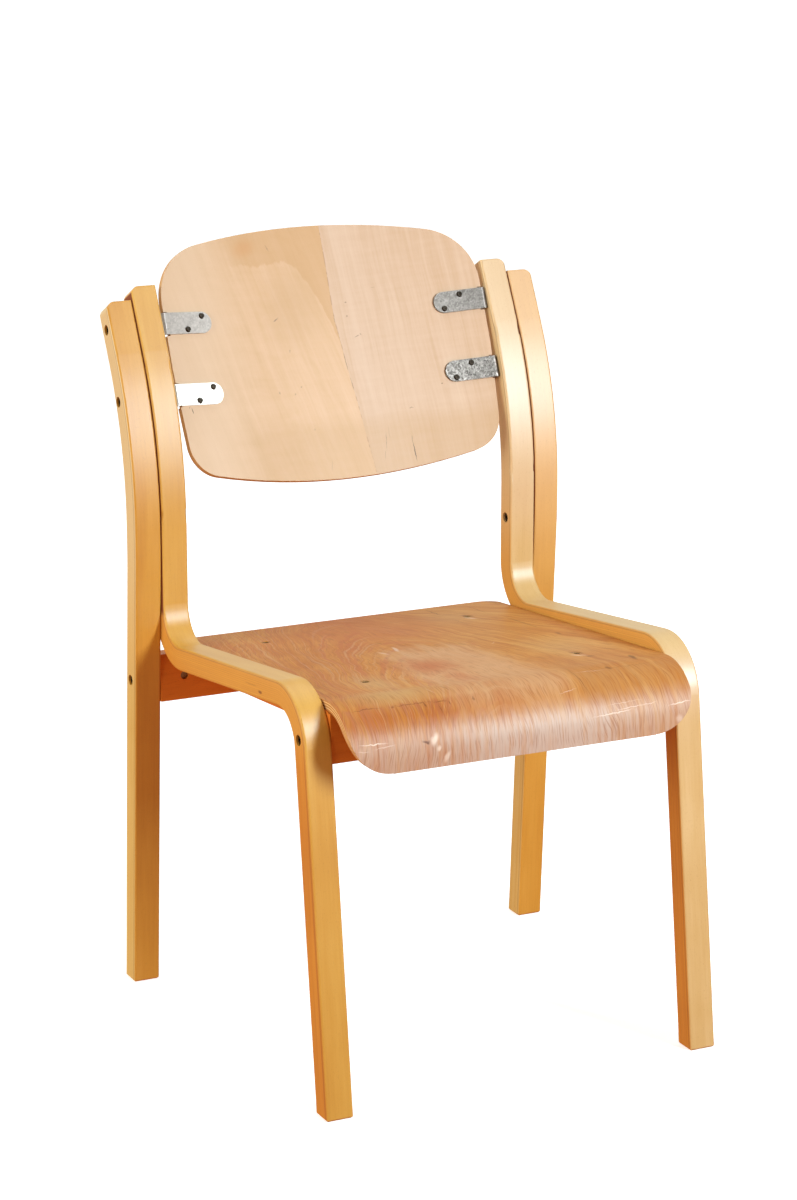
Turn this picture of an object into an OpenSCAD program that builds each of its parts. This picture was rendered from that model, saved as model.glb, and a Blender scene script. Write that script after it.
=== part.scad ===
// Stacking choir chair of bent laminated wood, with a moulded plywood seat and back.
// All lengths are in millimetres. The floor is z = 0, the front of the chair faces -Y and
// +X is the right hand of someone who looks at the front. Setbacks are measured towards the
// back from the front edge of the front feet.

/* [Side frames] */
// Clear width between the two side frames
clear_width = 413; // [380:1:450]
// Width of each bent member, across the chair
member_width = 32; // [28:1:36]
// Thickness of each bent member
member_thickness = 27; // [25:0.5:30]
// Rounding of the long edges of the bent members
edge_radius = 3; // [1:0.5:5]
// Centre line radius of the two tight bends
bend_radius = 52.5; // [46:0.5:60]
// Rise of the side frame's front corner above the crown of the seat, before its bend rounds it
corner_rise = 20; // [14:0.5:30]
// Backward lean of the front leg, in degrees
front_leg_lean = 7.1; // [5:0.1:9]
// Fall of the seat rail towards the back, in degrees
rail_fall = 6.7; // [5:0.1:8]

/* [Uprights] */
// Setback of the front face of the uprights
upright_setback = 435; // [400:1:470]
// Rise of the start of the uprights' curve above the crown of the seat
curve_start_rise = 110.5; // [95:0.5:130]
// Centre line radius of the curved stretch
curve_radius = 402.5; // [350:0.5:450]
// Backward lean of the straight top, in degrees
top_lean = 27.5; // [24:0.1:30]
// Length of the inner upright's straight top, beyond the curve
top_length = 77.7; // [66:0.1:100]
// How much shorter the outer upright is, along its length
outer_step = 15; // [8:1:24]
// Radius of the outer top corner of each upright
top_corner_radius = 12; // [6:0.5:16]
// Softening of the other edges of a cut end
end_softening = 2; // [0.5:0.5:3]

/* [Rear legs] */
// How far the rear foot stands behind the uprights, from front face to front face
rear_foot_offset = 31.5; // [26:0.5:36]
// Drop of the rear leg's knee below the start of the curve
knee_drop = 37; // [32:0.5:44]
// Centre line radius of the gentle bend above the rear leg
rear_bend_radius = 600; // [400:10:700]
// Bevel under the edges of each foot
foot_bevel = 2.5; // [1:0.5:4]

/* [Seat] */
// Height of the crown of the seat, where it starts to roll down
seat_height = 441.5; // [400:0.5:480]
// How far the crown of the seat lies behind the side frames' front corners
crown_offset = 5.5; // [4:0.5:8]
// How much less the seat falls towards the back than the side frames' rails, in degrees
seat_fall_less = 1.95; // [1.5:0.05:2.4]
// How far the rear edge of the seat lies behind the front of the uprights
seat_rear_reach = 37.4; // [30:0.1:44]
// Thickness of the seat plywood
seat_thickness = 10; // [8:0.5:12]
// Gap between the seat and each side frame
seat_gap = 1.5; // [0.5:0.5:4]
// Radius of the front roll, on the top face
roll_radius = 58; // [50:1:66]
// Straight lip under the front roll
roll_lip = 10; // [4:1:16]
// Radius of the lower front corners of the seat
front_corner_radius = 48; // [30:1:60]
// Radius of the rear corners of the seat
rear_corner_radius = 25; // [12:1:40]

/* [Seat frame] */
// Height of the rails and bearers under the seat
rail_height = 55; // [50:1:60]
// Thickness of the rails and bearers
rail_thickness = 24; // [22:0.5:25]
// Distance of the bearers' centre lines from the side frames
bearer_inset = 77.5; // [60:0.5:100]
// How far the middle of the rear rail lies behind the front of the uprights
rear_rail_offset = 22.5; // [21:0.5:24]
// How far the middle of the front rail lies behind the crown of the seat
front_rail_offset = 1.5; // [0.5:0.5:2.5]
// Distance of the front seat screws behind the roll
front_screw_place = 65; // [45:1:100]
// Distance of the rear seat screws from the rear edge of the seat
rear_screw_inset = 77; // [60:1:120]

/* [Back panel] */
// Gap between the widest place of the back panel and each side frame
panel_side_gap = 4.5; // [3:0.5:10]
// How much each side of the panel has drawn in above its lower corners
panel_taper = 5; // [3:0.5:12]
// Thickness of the back panel
panel_thickness = 9; // [6:0.5:12]
// Radius of the hollow front face of the back panel
panel_radius = 900; // [850:5:1000]
// How much less the back panel leans than the uprights' straight tops, in degrees
panel_lean_less = 4.7; // [4:0.1:5.5]
// Rise of the panel's top above the panel's middle
panel_rise = 134.5; // [110:0.5:150]
// Drop of the panel's bottom below the panel's middle
panel_drop = 166; // [140:0.5:180]
// Crown radius of the top edge
top_crown_radius = 680; // [500:10:1500]
// Crown radius of the bottom edge
bottom_crown_radius = 900; // [500:10:1500]
// Radius of the upper corners of the panel
upper_corner_radius = 70; // [50:1:80]
// Radius of the lower corners of the panel
lower_corner_radius = 40; // [20:1:50]

/* [Brackets] */
// Height of the steel brackets, along the panel
bracket_height = 25; // [22:0.5:28]
// Thickness of the bracket steel
bracket_thickness = 2.5; // [2:0.5:3]
// Reach of the bracket plate inward from the side frame
bracket_reach = 64.5; // [55:0.5:80]
// Distance of the bracket bolts beyond the end of the curve, for the upper brackets
upper_bolt_place = 32.6; // [26:0.1:38]
// Depth of the bracket flange behind its bolt
flange_margin = 9; // [8:0.5:10]
// Centre line radius of the bracket's bend
bracket_bend_radius = 3; // [2:0.25:3.5]
// Height of the upper brackets above the middle of the panel
upper_bracket_rise = 27.5; // [22:0.5:34]
// Drop of the lower brackets below the middle of the panel
lower_bracket_drop = 55.5; // [48:0.5:60]
// Room between the bracket nuts and the line of the panel's front face at the side frame
nut_room = 3.5; // [3:0.25:4]
// Room between the bracket and the ends of the notch in the panel
notch_room = 1.5; // [0.5:0.5:3]
// Distance of the middle of the plate screws from the free end of the plate
screw_inset = 22.5; // [20:0.5:34]
// Spread of the two plate screws along the plate
screw_spread = 20.5; // [14:0.5:26]
// Spread of the two plate screws along the panel
screw_step = 15; // [10:0.5:16]

/* [Fasteners] */
// Diameter of the bolts
bolt_diameter = 6; // [5:0.5:6.5]
// Diameter of the bolt heads
bolt_head_diameter = 10; // [9:0.5:10.5]
// Height of the bolt heads
bolt_head_height = 6; // [4:0.5:6]
// Room round the bolt heads in their counterbores
head_room = 1; // [0.5:0.25:2]
// Depth of the counterbores in the members
counterbore_depth = 8; // [7:0.5:10]
// How far the rail bolts reach past the middle of the barrel nuts
rail_bolt_reach = 6; // [5:0.5:10]
// Distance of the barrel nuts from the ends of the rails
barrel_nut_place = 30; // [25:1:34]
// Diameter of the barrel nuts
barrel_nut_diameter = 10; // [9:0.5:12]
// Length of the barrel nuts
barrel_nut_length = 14; // [11:1:16]
// Drop of the bolt that joins the two uprights of a side below the start of the curve
joint_bolt_drop = 38; // [30:0.5:46]
// Reach of that bolt into the outer upright
joint_bolt_reach = 12; // [10:0.5:12]
// Outer diameter of the threaded insert in the outer upright
insert_diameter = 10; // [9:0.5:12]
// Length of the threaded insert
insert_length = 15; // [10:1:18]
// Width across the flats of the nuts behind the brackets
nut_width = 10; // [9:0.5:10]
// Height of the nuts behind the brackets
nut_height = 5; // [4:0.5:5]
// Diameter of the wooden dowels
dowel_diameter = 8; // [6:1:10]
// Length of the wooden dowels
dowel_length = 36; // [30:1:40]
// Depth of each dowel in the member or rail that it is glued into
dowel_seat_depth = 15; // [12:1:18]
// Shank diameter of the seat screws
seat_screw_diameter = 5; // [4:0.5:6]
// Head diameter of the seat screws
seat_screw_head = 9.5; // [8:0.5:11]
// Length of the seat screws
seat_screw_length = 40; // [30:1:50]
// Depth of the seat screws' heads below the face of the seat
seat_screw_dimple = 1; // [0.5:0.25:2]
// Shank diameter of the plate screws
plate_screw_diameter = 3.5; // [3:0.25:4]
// Head diameter of the plate screws
plate_screw_head = 7; // [6:0.5:8]
// Head height of the plate screws
plate_screw_head_height = 2.2; // [1.6:0.2:3]
// How far the plate screws' points stay inside the back face of the panel
plate_screw_cover = 1; // [0.5:0.25:2]

/* [Hidden] */
// How far a cutting tool runs past the face that it cuts
overrun = 5;
// Clearance all round a dowel, a nut or an insert in its hole
fit = 0.1;
// Clearance all round a bolt in its hole
bolt_fit = 0.25;
// Size of a cutting block that clears the whole chair
block = 1200;
// How far a straight stretch of a bent member reaches into the bend that follows it
lap = 0.4;
// How much slimmer a bend is all round, so that it joins its straights without a flaw
bend_easing = 0.02;

// Across the chair
frame_inner = clear_width / 2;
frame_outer = frame_inner + member_width;
chair_outer = frame_outer + member_width;
frame_middle = frame_inner + member_width / 2;
leg_middle = frame_outer + member_width / 2;
half_thickness = member_thickness / 2;

// Heights that the seat sets
front_corner_height = seat_height + corner_rise;
curve_start_height = seat_height + curve_start_rise;
joint_bolt_height = curve_start_height - joint_bolt_drop;

// Centre lines of the side frame, as [setback, height]
front_leg_dir = [sin(front_leg_lean), cos(front_leg_lean)];
rail_dir = [cos(rail_fall), -sin(rail_fall)];
front_corner = [front_corner_height * tan(front_leg_lean), front_corner_height];
foot_centre = [half_thickness / cos(front_leg_lean), 0];
rail_point = front_corner - half_thickness * [sin(rail_fall), cos(rail_fall)];
upright_centre = upright_setback + half_thickness;
corner_a = meeting(foot_centre, front_leg_dir, rail_point, rail_dir);
corner_b = rail_point + rail_dir * (upright_centre - rail_point[0]) / rail_dir[0];
front_turn = 90 - front_leg_lean + rail_fall;
rear_turn = 90 + rail_fall;
front_tangent = bend_radius * tan(front_turn / 2);
rear_tangent = bend_radius * tan(rear_turn / 2);
foot_overrun = member_thickness;
front_leg_length = norm(corner_a - foot_centre) - front_tangent + foot_overrun;
rail_length = norm(corner_b - corner_a) - front_tangent - rear_tangent;
upright_length = curve_start_height - corner_b[1] - rear_tangent;

// Rear leg
rear_foot_setback = upright_setback + rear_foot_offset;
knee_height = curve_start_height - knee_drop;
rear_leg_rake = atan(rear_foot_offset / knee_height);
centre_tangent = rear_bend_radius * tan(rear_leg_rake / 2);
knee_centre_height = knee_height + half_thickness * tan(rear_leg_rake / 2);
rear_leg_length = knee_centre_height / cos(rear_leg_rake)
    - half_thickness * tan(rear_leg_rake) - centre_tangent + foot_overrun;
rear_foot_centre = rear_foot_setback + half_thickness / cos(rear_leg_rake);
rear_upright_length = curve_start_height - knee_centre_height - centre_tangent;

// Steps of the bent members: straight length, turn and centre line radius
side_frame_steps = [
    [front_leg_length, front_turn, bend_radius],
    [rail_length, -rear_turn, bend_radius],
    [upright_length, top_lean, curve_radius],
];
rear_leg_steps = [
    [rear_leg_length, rear_leg_rake, rear_bend_radius],
    [rear_upright_length, top_lean, curve_radius],
];

// Seat, in a frame whose origin is where the flat meets the roll
seat_fall = rail_fall - seat_fall_less;
seat_crown_setback = front_corner[0] + crown_offset;
seat_origin = [
    seat_crown_setback + roll_radius * sin(seat_fall),
    seat_height - roll_radius + roll_radius * cos(seat_fall)
];
seat_flat = (upright_setback + seat_rear_reach - seat_origin[0]) / cos(seat_fall);
seat_half_width = frame_inner - seat_gap;
seat_middle_radius = roll_radius - seat_thickness / 2;
lip_bottom = seat_height - roll_radius - roll_lip;

// Seat frame, in the seat's frame: along the seat and below its face
frame_middle_drop = seat_thickness + rail_height / 2;
rear_rail_place = place_along_seat(upright_setback + rear_rail_offset);
front_rail_place = place_along_seat(seat_crown_setback + front_rail_offset);
bearer_start = front_rail_place + rail_thickness / 2;
bearer_length = rear_rail_place - front_rail_place - rail_thickness;
bearer_side = frame_inner - bearer_inset;
rear_screw_place = seat_flat - rear_screw_inset;
rail_dowel_share = 0.31;
bearer_dowel_share = 0.26;
bevel_width = rail_thickness / 2 - front_rail_place;
bevel_depth_share = 0.2;

// Back panel, in a frame on the middle of its front face
panel_lean = top_lean - panel_lean_less;
panel_half_width = frame_inner - panel_side_gap;
widest_place_share = -0.08;
upper_corner_side = panel_half_width - upper_corner_radius;
lower_corner_side = panel_half_width - panel_taper - lower_corner_radius;
upper_corner_place = panel_rise - top_crown_radius
    + leg(top_crown_radius - upper_corner_radius, upper_corner_side);
lower_corner_place = bottom_crown_radius - panel_drop
    - leg(bottom_crown_radius - lower_corner_radius, lower_corner_side);
widest_radius = (upper_corner_radius + lower_corner_radius) / 2;
widest_place = widest_place_share * (panel_rise + panel_drop);
crown_steps = 8;
corner_steps = 14;
flank_steps = 2;

// Brackets
bracket_places = [upper_bracket_rise, -lower_bracket_drop];
plate_radius = panel_radius - bracket_thickness / 2;
flange_side = frame_inner - bracket_thickness / 2;
free_end = frame_inner - bracket_reach;
free_angle = asin(free_end / plate_radius);
bend_side = flange_side - bracket_bend_radius;
bend_distance = plate_radius + bracket_bend_radius;
bend_angle = asin(bend_side / bend_distance);
bend_sink = leg(bend_distance, bend_side) - panel_radius;
panel_edge_sink = leg(panel_radius, frame_inner) - panel_radius;
bracket_bolt_sink = panel_edge_sink + nut_width / 2 + nut_room;
flange_end = bracket_bolt_sink + flange_margin;
plate_screw_side = free_end + screw_inset;
nut_face = frame_inner - bracket_thickness;
notch_side = nut_face - nut_height - notch_room;
bracket_bolt_length = chair_outer - counterbore_depth - nut_face + nut_height + notch_room / 2;
head_top_share = 0.75;
plate_screw_length = bracket_thickness + panel_thickness - plate_screw_cover;
// How far the plate screws' heads stand off the hollow face of the plate
head_seat = 0.02;
head_face = -bracket_thickness - head_seat;

// The upper bracket bolts lie on the centre lines of the uprights and so place the panel
top_dir = [sin(top_lean), cos(top_lean)];
panel_dir = [sin(panel_lean), cos(panel_lean)];
into_panel = [cos(panel_lean), -sin(panel_lean)];
curve_end = [upright_centre + curve_radius, curve_start_height]
    + curve_radius * [-cos(top_lean), sin(top_lean)];
upper_bolt = curve_end + upper_bolt_place * top_dir;
panel_middle = upper_bolt - upper_bracket_rise * panel_dir - bracket_bolt_sink * into_panel;

// Bolts
counterbore_diameter = bolt_head_diameter + 2 * head_room;
bolt_grip = member_width - counterbore_depth;
rail_bolt_length = bolt_grip + barrel_nut_place + rail_bolt_reach;
joint_bolt_length = bolt_grip + joint_bolt_reach;
slot_share = 0.125;

// The origin is in the middle of the chair's depth
chair_depth = panel_middle[0] + panel_rise * panel_dir[0] + panel_thickness * into_panel[0];

$fa = 2;
$fs = 0.8;

// Other side of a right triangle
function leg(hypotenuse, side) = sqrt(hypotenuse * hypotenuse - side * side);

// Where two lines meet, each given by a point and a direction
function meeting(p, u, q, v) =
    p + u * ((q[0] - p[0]) * v[1] - (q[1] - p[1]) * v[0]) / (u[0] * v[1] - u[1] * v[0]);

// Points along an arc from angle a to angle b
function arc(centre, radius, a, b, steps) = [
    for (i = [0:steps])
        let (angle = a + (b - a) * i / steps) centre + radius * [cos(angle), sin(angle)]
];

// The right half of an outline that is the same on both sides, and its left half
function both_halves(half) =
    concat(half, [for (i = [len(half) - 2:-1:1]) [-half[i][0], half[i][1]]]);

// Place along the seat of a rail whose middle has the given setback
function place_along_seat(setback) =
    (setback - seat_origin[0] + frame_middle_drop * sin(seat_fall)) / cos(seat_fall);

// Places of the origin's frame

module chair_frame() {
    translate([0, -chair_depth / 2, 0]) children();
}

module on_side(side) {
    mirror([side < 0 ? 1 : 0, 0, 0]) children();
}

module on_both_sides() {
    for (side = [-1, 1]) on_side(side) children();
}

// The seat's own frame: Y along the seat towards the back, Z out of its face
module on_seat() {
    chair_frame()
        translate([0, seat_origin[0], seat_origin[1]])
        rotate([-seat_fall, 0, 0]) children();
}

// The panel's own frame: Z up along the panel, Y into it
module on_panel() {
    chair_frame()
        translate([0, panel_middle[0], panel_middle[1]])
        rotate([-panel_lean, 0, 0]) children();
}

// A place on the hollow front face of the panel, with Y into the panel
module on_panel_face(side, place) {
    translate([0, -panel_radius, place])
        rotate([0, 0, -asin(side / panel_radius)])
        translate([0, panel_radius, 0]) children();
}

// Pressed and bent strips

module strip_section(width, thickness, edge) {
    if (edge > 0) {
        square([thickness - 2 * edge, width], center = true);
        square([thickness, width - 2 * edge], center = true);
        for (a = [-1, 1], b = [-1, 1])
            translate([a * (thickness / 2 - edge), b * (width / 2 - edge)]) circle(r = edge);
    } else {
        square([thickness, width], center = true);
    }
}

// One bend, away from +Z and towards +Y, or towards -Y for a turn below zero
module strip_bend(turn, radius, width, thickness, edge) {
    mirror([0, turn < 0 ? 1 : 0, 0])
        translate([0, radius, 0])
        rotate([90, 0, -90])
        rotate_extrude(angle = abs(turn))
        translate([radius, 0]) strip_section(width, thickness, edge);
}

module after_bend(turn, radius) {
    way = turn < 0 ? -1 : 1;
    translate([0, way * radius * (1 - cos(turn)), radius * sin(abs(turn))])
        rotate([-turn, 0, 0]) children();
}

// A strip that runs along +Z, with its width along X, through its straights and bends.
// The children stand at its end.
module bent_strip(steps, width, thickness, edge = 0, i = 0) {
    if (i < len(steps)) {
        straight = steps[i][0];
        turn = steps[i][1];
        radius = steps[i][2];
        eased = 2 * bend_easing;
        translate([0, 0, -lap])
            linear_extrude(height = straight + 2 * lap)
            rotate(90) strip_section(width, thickness, edge);
        translate([0, 0, straight]) {
            if (turn != 0) strip_bend(turn, radius, width - eased, thickness - eased, edge);
            after_bend(turn, radius)
                bent_strip(steps, width, thickness, edge, i + 1) children();
        }
    } else {
        children();
    }
}

// The straight top of an upright, cut square and with its outer corner rounded
module upright_top(length) {
    corner = top_corner_radius;
    soft = end_softening;
    inner = -member_width / 2;
    outer = member_width / 2;
    intersection() {
        translate([0, 0, -lap])
            linear_extrude(height = length + lap)
            rotate(90) strip_section(member_width, member_thickness, edge_radius);
        rotate([90, 0, 0])
            linear_extrude(height = block, center = true) {
                translate([inner, -overrun])
                    square([member_width, length - corner + overrun]);
                translate([inner + soft, 0])
                    square([member_width - soft - corner, length]);
                translate([inner, 0]) square([member_width / 2, length - soft]);
                translate([inner + soft, length - soft]) circle(r = soft);
                translate([outer - corner, length - corner]) circle(r = corner);
            }
        rotate([90, 0, 90])
            linear_extrude(height = block, center = true) {
                translate([-half_thickness, -overrun])
                    square([member_thickness, length - soft + overrun]);
                translate([soft - half_thickness, 0])
                    square([member_thickness - 2 * soft, length]);
                for (a = [-1, 1])
                    translate([a * (half_thickness - soft), length - soft]) circle(r = soft);
            }
    }
}

// Everything under the floor, and the bevels round a foot that stands on it
module below_floor(setback, middle, thickness) {
    translate([0, 0, -block / 2]) cube([block, 2 * block, block], center = true);
    reach = foot_bevel * sqrt(2);
    for (a = [-1, 1]) {
        translate([middle + a * member_width / 2, 0, 0])
            rotate([0, 45, 0]) cube([reach, 2 * block, reach], center = true);
        translate([0, setback + (a + 1) / 2 * thickness, 0])
            rotate([45, 0, 0]) cube([block, reach, reach], center = true);
    }
}

// Bolt holes with counterbores, from the face at the given side inward or outward
module bolt_hole(face, way, length, depth = counterbore_depth) {
    translate([face, 0, 0]) rotate([0, way * 90, 0]) {
        translate([0, 0, -overrun])
            cylinder(d = counterbore_diameter, h = depth + overrun);
        cylinder(d = bolt_diameter + 2 * bolt_fit, h = length);
    }
}

// Stations where bolts cross the members

module at_joint_bolt() {
    chair_frame() translate([0, upright_centre, joint_bolt_height]) children();
}

module at_bracket_bolts() {
    on_panel()
        for (place = bracket_places)
            translate([0, bracket_bolt_sink, place]) children();
}

module at_rail(place) {
    on_seat() translate([0, place, -frame_middle_drop]) children();
}

module at_rail_dowels(place) {
    at_rail(place)
        for (a = [-1, 1]) translate([0, 0, a * rail_dowel_share * rail_height]) children();
}

module dowel_hole(face, way, depth) {
    translate([face, 0, 0]) rotate([0, way * 90, 0])
        translate([0, 0, -overrun])
        cylinder(d = dowel_diameter + 2 * fit, h = depth + overrun + fit);
}

// Side frame: front leg, seat rail and inner upright in one bent strip

module side_frame() {
    difference() {
        chair_frame()
            translate([frame_middle, foot_centre[0], foot_centre[1]])
            rotate([-front_leg_lean, 0, 0])
            translate([0, 0, -foot_overrun])
            union()
            bent_strip(side_frame_steps, member_width, member_thickness, edge_radius)
            upright_top(top_length);
        chair_frame()
            below_floor(0, frame_middle, member_thickness / cos(front_leg_lean));
        at_rail(front_rail_place)
            bolt_hole(frame_outer, -1, member_width + overrun, counterbore_depth);
        at_rail_dowels(front_rail_place) dowel_hole(frame_inner, 1, dowel_seat_depth);
        at_joint_bolt() bolt_hole(frame_inner, 1, member_width + overrun);
        at_bracket_bolts()
            translate([frame_inner - overrun, 0, 0]) rotate([0, 90, 0])
            cylinder(d = bolt_diameter + 2 * bolt_fit, h = member_width + 2 * overrun);
    }
}

module left_side_frame() {
    color("burlywood") on_side(-1) side_frame();
}

module right_side_frame() {
    color("burlywood") on_side(1) side_frame();
}

// Rear leg, which carries on up as the outer upright

module rear_leg() {
    difference() {
        chair_frame()
            translate([leg_middle, rear_foot_centre, 0])
            rotate([rear_leg_rake, 0, 0])
            translate([0, 0, -foot_overrun])
            union()
            bent_strip(rear_leg_steps, member_width, member_thickness, edge_radius)
            upright_top(top_length - outer_step);
        chair_frame()
            below_floor(rear_foot_setback, leg_middle, member_thickness / cos(rear_leg_rake));
        at_rail(rear_rail_place) bolt_hole(chair_outer, -1, member_width + overrun);
        at_rail_dowels(rear_rail_place) dowel_hole(frame_outer, 1, dowel_seat_depth);
        at_joint_bolt()
            translate([frame_outer - overrun, 0, 0]) rotate([0, 90, 0])
            cylinder(d = insert_diameter + 2 * fit, h = insert_length + overrun + fit);
        at_joint_bolt()
            translate([frame_outer, 0, 0]) rotate([0, 90, 0])
            cylinder(d = bolt_diameter + 2 * bolt_fit, h = insert_length + overrun);
        at_bracket_bolts() bolt_hole(chair_outer, -1, member_width + overrun);
    }
}

module left_rear_leg() {
    color("burlywood") on_side(-1) rear_leg();
}

module right_rear_leg() {
    color("burlywood") on_side(1) rear_leg();
}

// Seat, a flat board with a rolled front, trimmed to its outline

module seat_blank() {
    on_seat()
        translate([0, seat_flat, -seat_thickness / 2])
        rotate([90, 0, 0])
        bent_strip([[seat_flat, -(90 + seat_fall), seat_middle_radius], [roll_lip, 0, 0]],
            2 * seat_half_width, seat_thickness);
}

module seat_front_view() {
    corner = front_corner_radius;
    translate([-seat_half_width, lip_bottom + corner])
        square([2 * seat_half_width, block]);
    translate([corner - seat_half_width, lip_bottom - overrun])
        square([2 * (seat_half_width - corner), block]);
    for (a = [-1, 1])
        translate([a * (seat_half_width - corner), lip_bottom + corner]) circle(r = corner);
}

module seat_plan() {
    corner = rear_corner_radius;
    back = seat_flat;
    translate([-seat_half_width, back - corner - block])
        square([2 * seat_half_width, block]);
    translate([corner - seat_half_width, back - block])
        square([2 * (seat_half_width - corner), block]);
    for (a = [-1, 1])
        translate([a * (seat_half_width - corner), back - corner]) circle(r = corner);
}

module at_seat_screws() {
    on_seat()
        for (side = [-1, 1], place = [front_screw_place, rear_screw_place])
            translate([side * bearer_side, place, -seat_screw_dimple]) children();
}

module seat_screw_body(extra) {
    cone = (seat_screw_head - seat_screw_diameter) / 2;
    rotate([180, 0, 0]) {
        cylinder(d1 = seat_screw_head + 2 * extra, d2 = seat_screw_diameter + 2 * extra, h = cone);
        cylinder(d = seat_screw_diameter + 2 * extra, h = seat_screw_length + extra);
    }
}

module seat_panel() {
    color("peru")
    difference() {
        intersection() {
            seat_blank();
            rotate([90, 0, 0]) linear_extrude(height = block, center = true) seat_front_view();
            on_seat() linear_extrude(height = block, center = true) seat_plan();
        }
        at_seat_screws() {
            seat_screw_body(fit);
            cylinder(d = seat_screw_head + 2 * fit, h = overrun);
        }
    }
}

// Rails and bearers under the seat

module rail_bar(place, half_length) {
    at_rail(place) cube([2 * half_length, rail_thickness, rail_height], center = true);
}

// Bolt and dowel holes in one end of a rail, with the barrel nut's hole in the given face
module rail_end_cuts(place, end, face_way) {
    bore = rail_bolt_length - bolt_grip;
    at_rail(place) {
        translate([end + overrun, 0, 0]) rotate([0, -90, 0])
            cylinder(d = bolt_diameter + 2 * bolt_fit, h = bore + 2 * overrun);
        translate([end - barrel_nut_place, 0, 0]) rotate([face_way * 90, 0, 0])
            translate([0, 0, -barrel_nut_length / 2 - fit])
            cylinder(d = barrel_nut_diameter + 2 * fit, h = rail_thickness);
    }
    at_rail_dowels(place) dowel_hole(end, -1, dowel_length - dowel_seat_depth);
}

module at_bearer_dowels(place, way) {
    step = bearer_dowel_share * rail_height;
    on_seat()
        for (side = [-1, 1], a = [-1, 1])
            translate([side * bearer_side, place, a * step - frame_middle_drop])
            rotate([-way * 90, 0, 0]) children();
}

module bearer_dowel_cuts(place, way) {
    at_bearer_dowels(place, way)
        translate([0, 0, -dowel_seat_depth - fit])
        cylinder(d = dowel_diameter + 2 * fit, h = dowel_length + 2 * fit);
}

module front_rail() {
    color("sandybrown")
    difference() {
        rail_bar(front_rail_place, frame_inner);
        for (side = [-1, 1]) on_side(side) rail_end_cuts(front_rail_place, frame_inner, -1);
        bearer_dowel_cuts(bearer_start, 1);
        // Bevel that clears the start of the roll
        on_seat()
            translate([0, 0, -seat_thickness])
            rotate([atan(bevel_depth_share), 0, 0])
            translate([0, -bevel_width, bevel_width])
            cube([block, 2 * bevel_width, 2 * bevel_width], center = true);
    }
}

module rear_rail() {
    color("sandybrown")
    difference() {
        rail_bar(rear_rail_place, frame_outer);
        for (side = [-1, 1]) on_side(side) rail_end_cuts(rear_rail_place, frame_outer, 1);
        bearer_dowel_cuts(bearer_start + bearer_length, -1);
    }
}

module bearer() {
    difference() {
        on_seat()
            translate([bearer_side, bearer_start + bearer_length / 2, -frame_middle_drop])
            cube([rail_thickness, bearer_length, rail_height], center = true);
        bearer_dowel_cuts(bearer_start, 1);
        bearer_dowel_cuts(bearer_start + bearer_length, -1);
        at_seat_screws() seat_screw_body(fit);
    }
}

module left_bearer() {
    color("sandybrown") on_side(-1) bearer();
}

module right_bearer() {
    color("sandybrown") on_side(1) bearer();
}

// Back panel: a hollow shell cut to a rounded shield

module panel_outline() {
    bottom = [0, bottom_crown_radius - panel_drop];
    lower = [lower_corner_side, lower_corner_place];
    widest = [panel_half_width - widest_radius, widest_place];
    upper = [upper_corner_side, upper_corner_place];
    top = [0, panel_rise - top_crown_radius];
    down = lower - widest;
    flank = atan2(down[1], down[0]) + acos((widest_radius - lower_corner_radius) / norm(down));
    bottom_end = atan2(lower[1] - bottom[1], lower[0]);
    top_end = atan2(upper[1] - top[1], upper[0]);
    polygon(both_halves(concat(
        arc(bottom, bottom_crown_radius, -90, bottom_end, crown_steps),
        arc(lower, lower_corner_radius, bottom_end, flank, corner_steps),
        arc(widest, widest_radius, flank, 0, flank_steps),
        arc(upper, upper_corner_radius, 0, top_end, corner_steps),
        arc(top, top_crown_radius, top_end, 90, crown_steps)
    )));
}

module at_plate_screws() {
    for (side = [-1, 1], place = bracket_places, a = [-1, 1])
        on_panel_face(side * plate_screw_side + a * screw_spread / 2, place + a * screw_step / 2)
            children();
}

module plate_screw_shank(extra) {
    rotate([-90, 0, 0])
        translate([0, 0, head_face])
        cylinder(d = plate_screw_diameter + 2 * extra, h = plate_screw_length + extra);
}

module back_panel() {
    color("wheat") on_panel()
    difference() {
        intersection() {
            translate([0, -panel_radius, 0])
                difference() {
                    cylinder(r = panel_radius + panel_thickness, h = block, center = true, $fn = 360);
                    cylinder(r = panel_radius, h = 2 * block, center = true, $fn = 360);
                }
            translate([0, block / 2 - panel_radius / 2, 0])
                rotate([90, 0, 0]) linear_extrude(height = block, center = true) panel_outline();
        }
        for (side = [-1, 1], place = bracket_places) {
            room = bracket_height + 2 * notch_room;
            translate([side * (notch_side + block / 2), 0, place])
                cube([block, block, room], center = true);
        }
        at_plate_screws() plate_screw_shank(fit);
    }
}

// Brackets: a plate on the panel with a rounded free end, bent back along the side frame

module bracket_face() {
    radius = bracket_height / 2;
    translate([free_end + radius, 0]) circle(r = radius);
    translate([free_end + radius, -radius]) square([bracket_reach, 2 * radius]);
}

module bracket_section() {
    half = bracket_thickness / 2;
    axis = [0, -panel_radius];
    bend = [bend_side, bend_sink];
    polygon(concat(
        arc(axis, plate_radius - half, 90 - free_angle, 90 - bend_angle, crown_steps),
        arc(bend, bracket_bend_radius + half, -90 - bend_angle, 0, corner_steps),
        [[frame_inner, flange_end], [nut_face, flange_end]],
        arc(bend, bracket_bend_radius - half, 0, -90 - bend_angle, corner_steps),
        arc(axis, plate_radius + half, 90 - bend_angle, 90 - free_angle, crown_steps)
    ));
}

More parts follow.
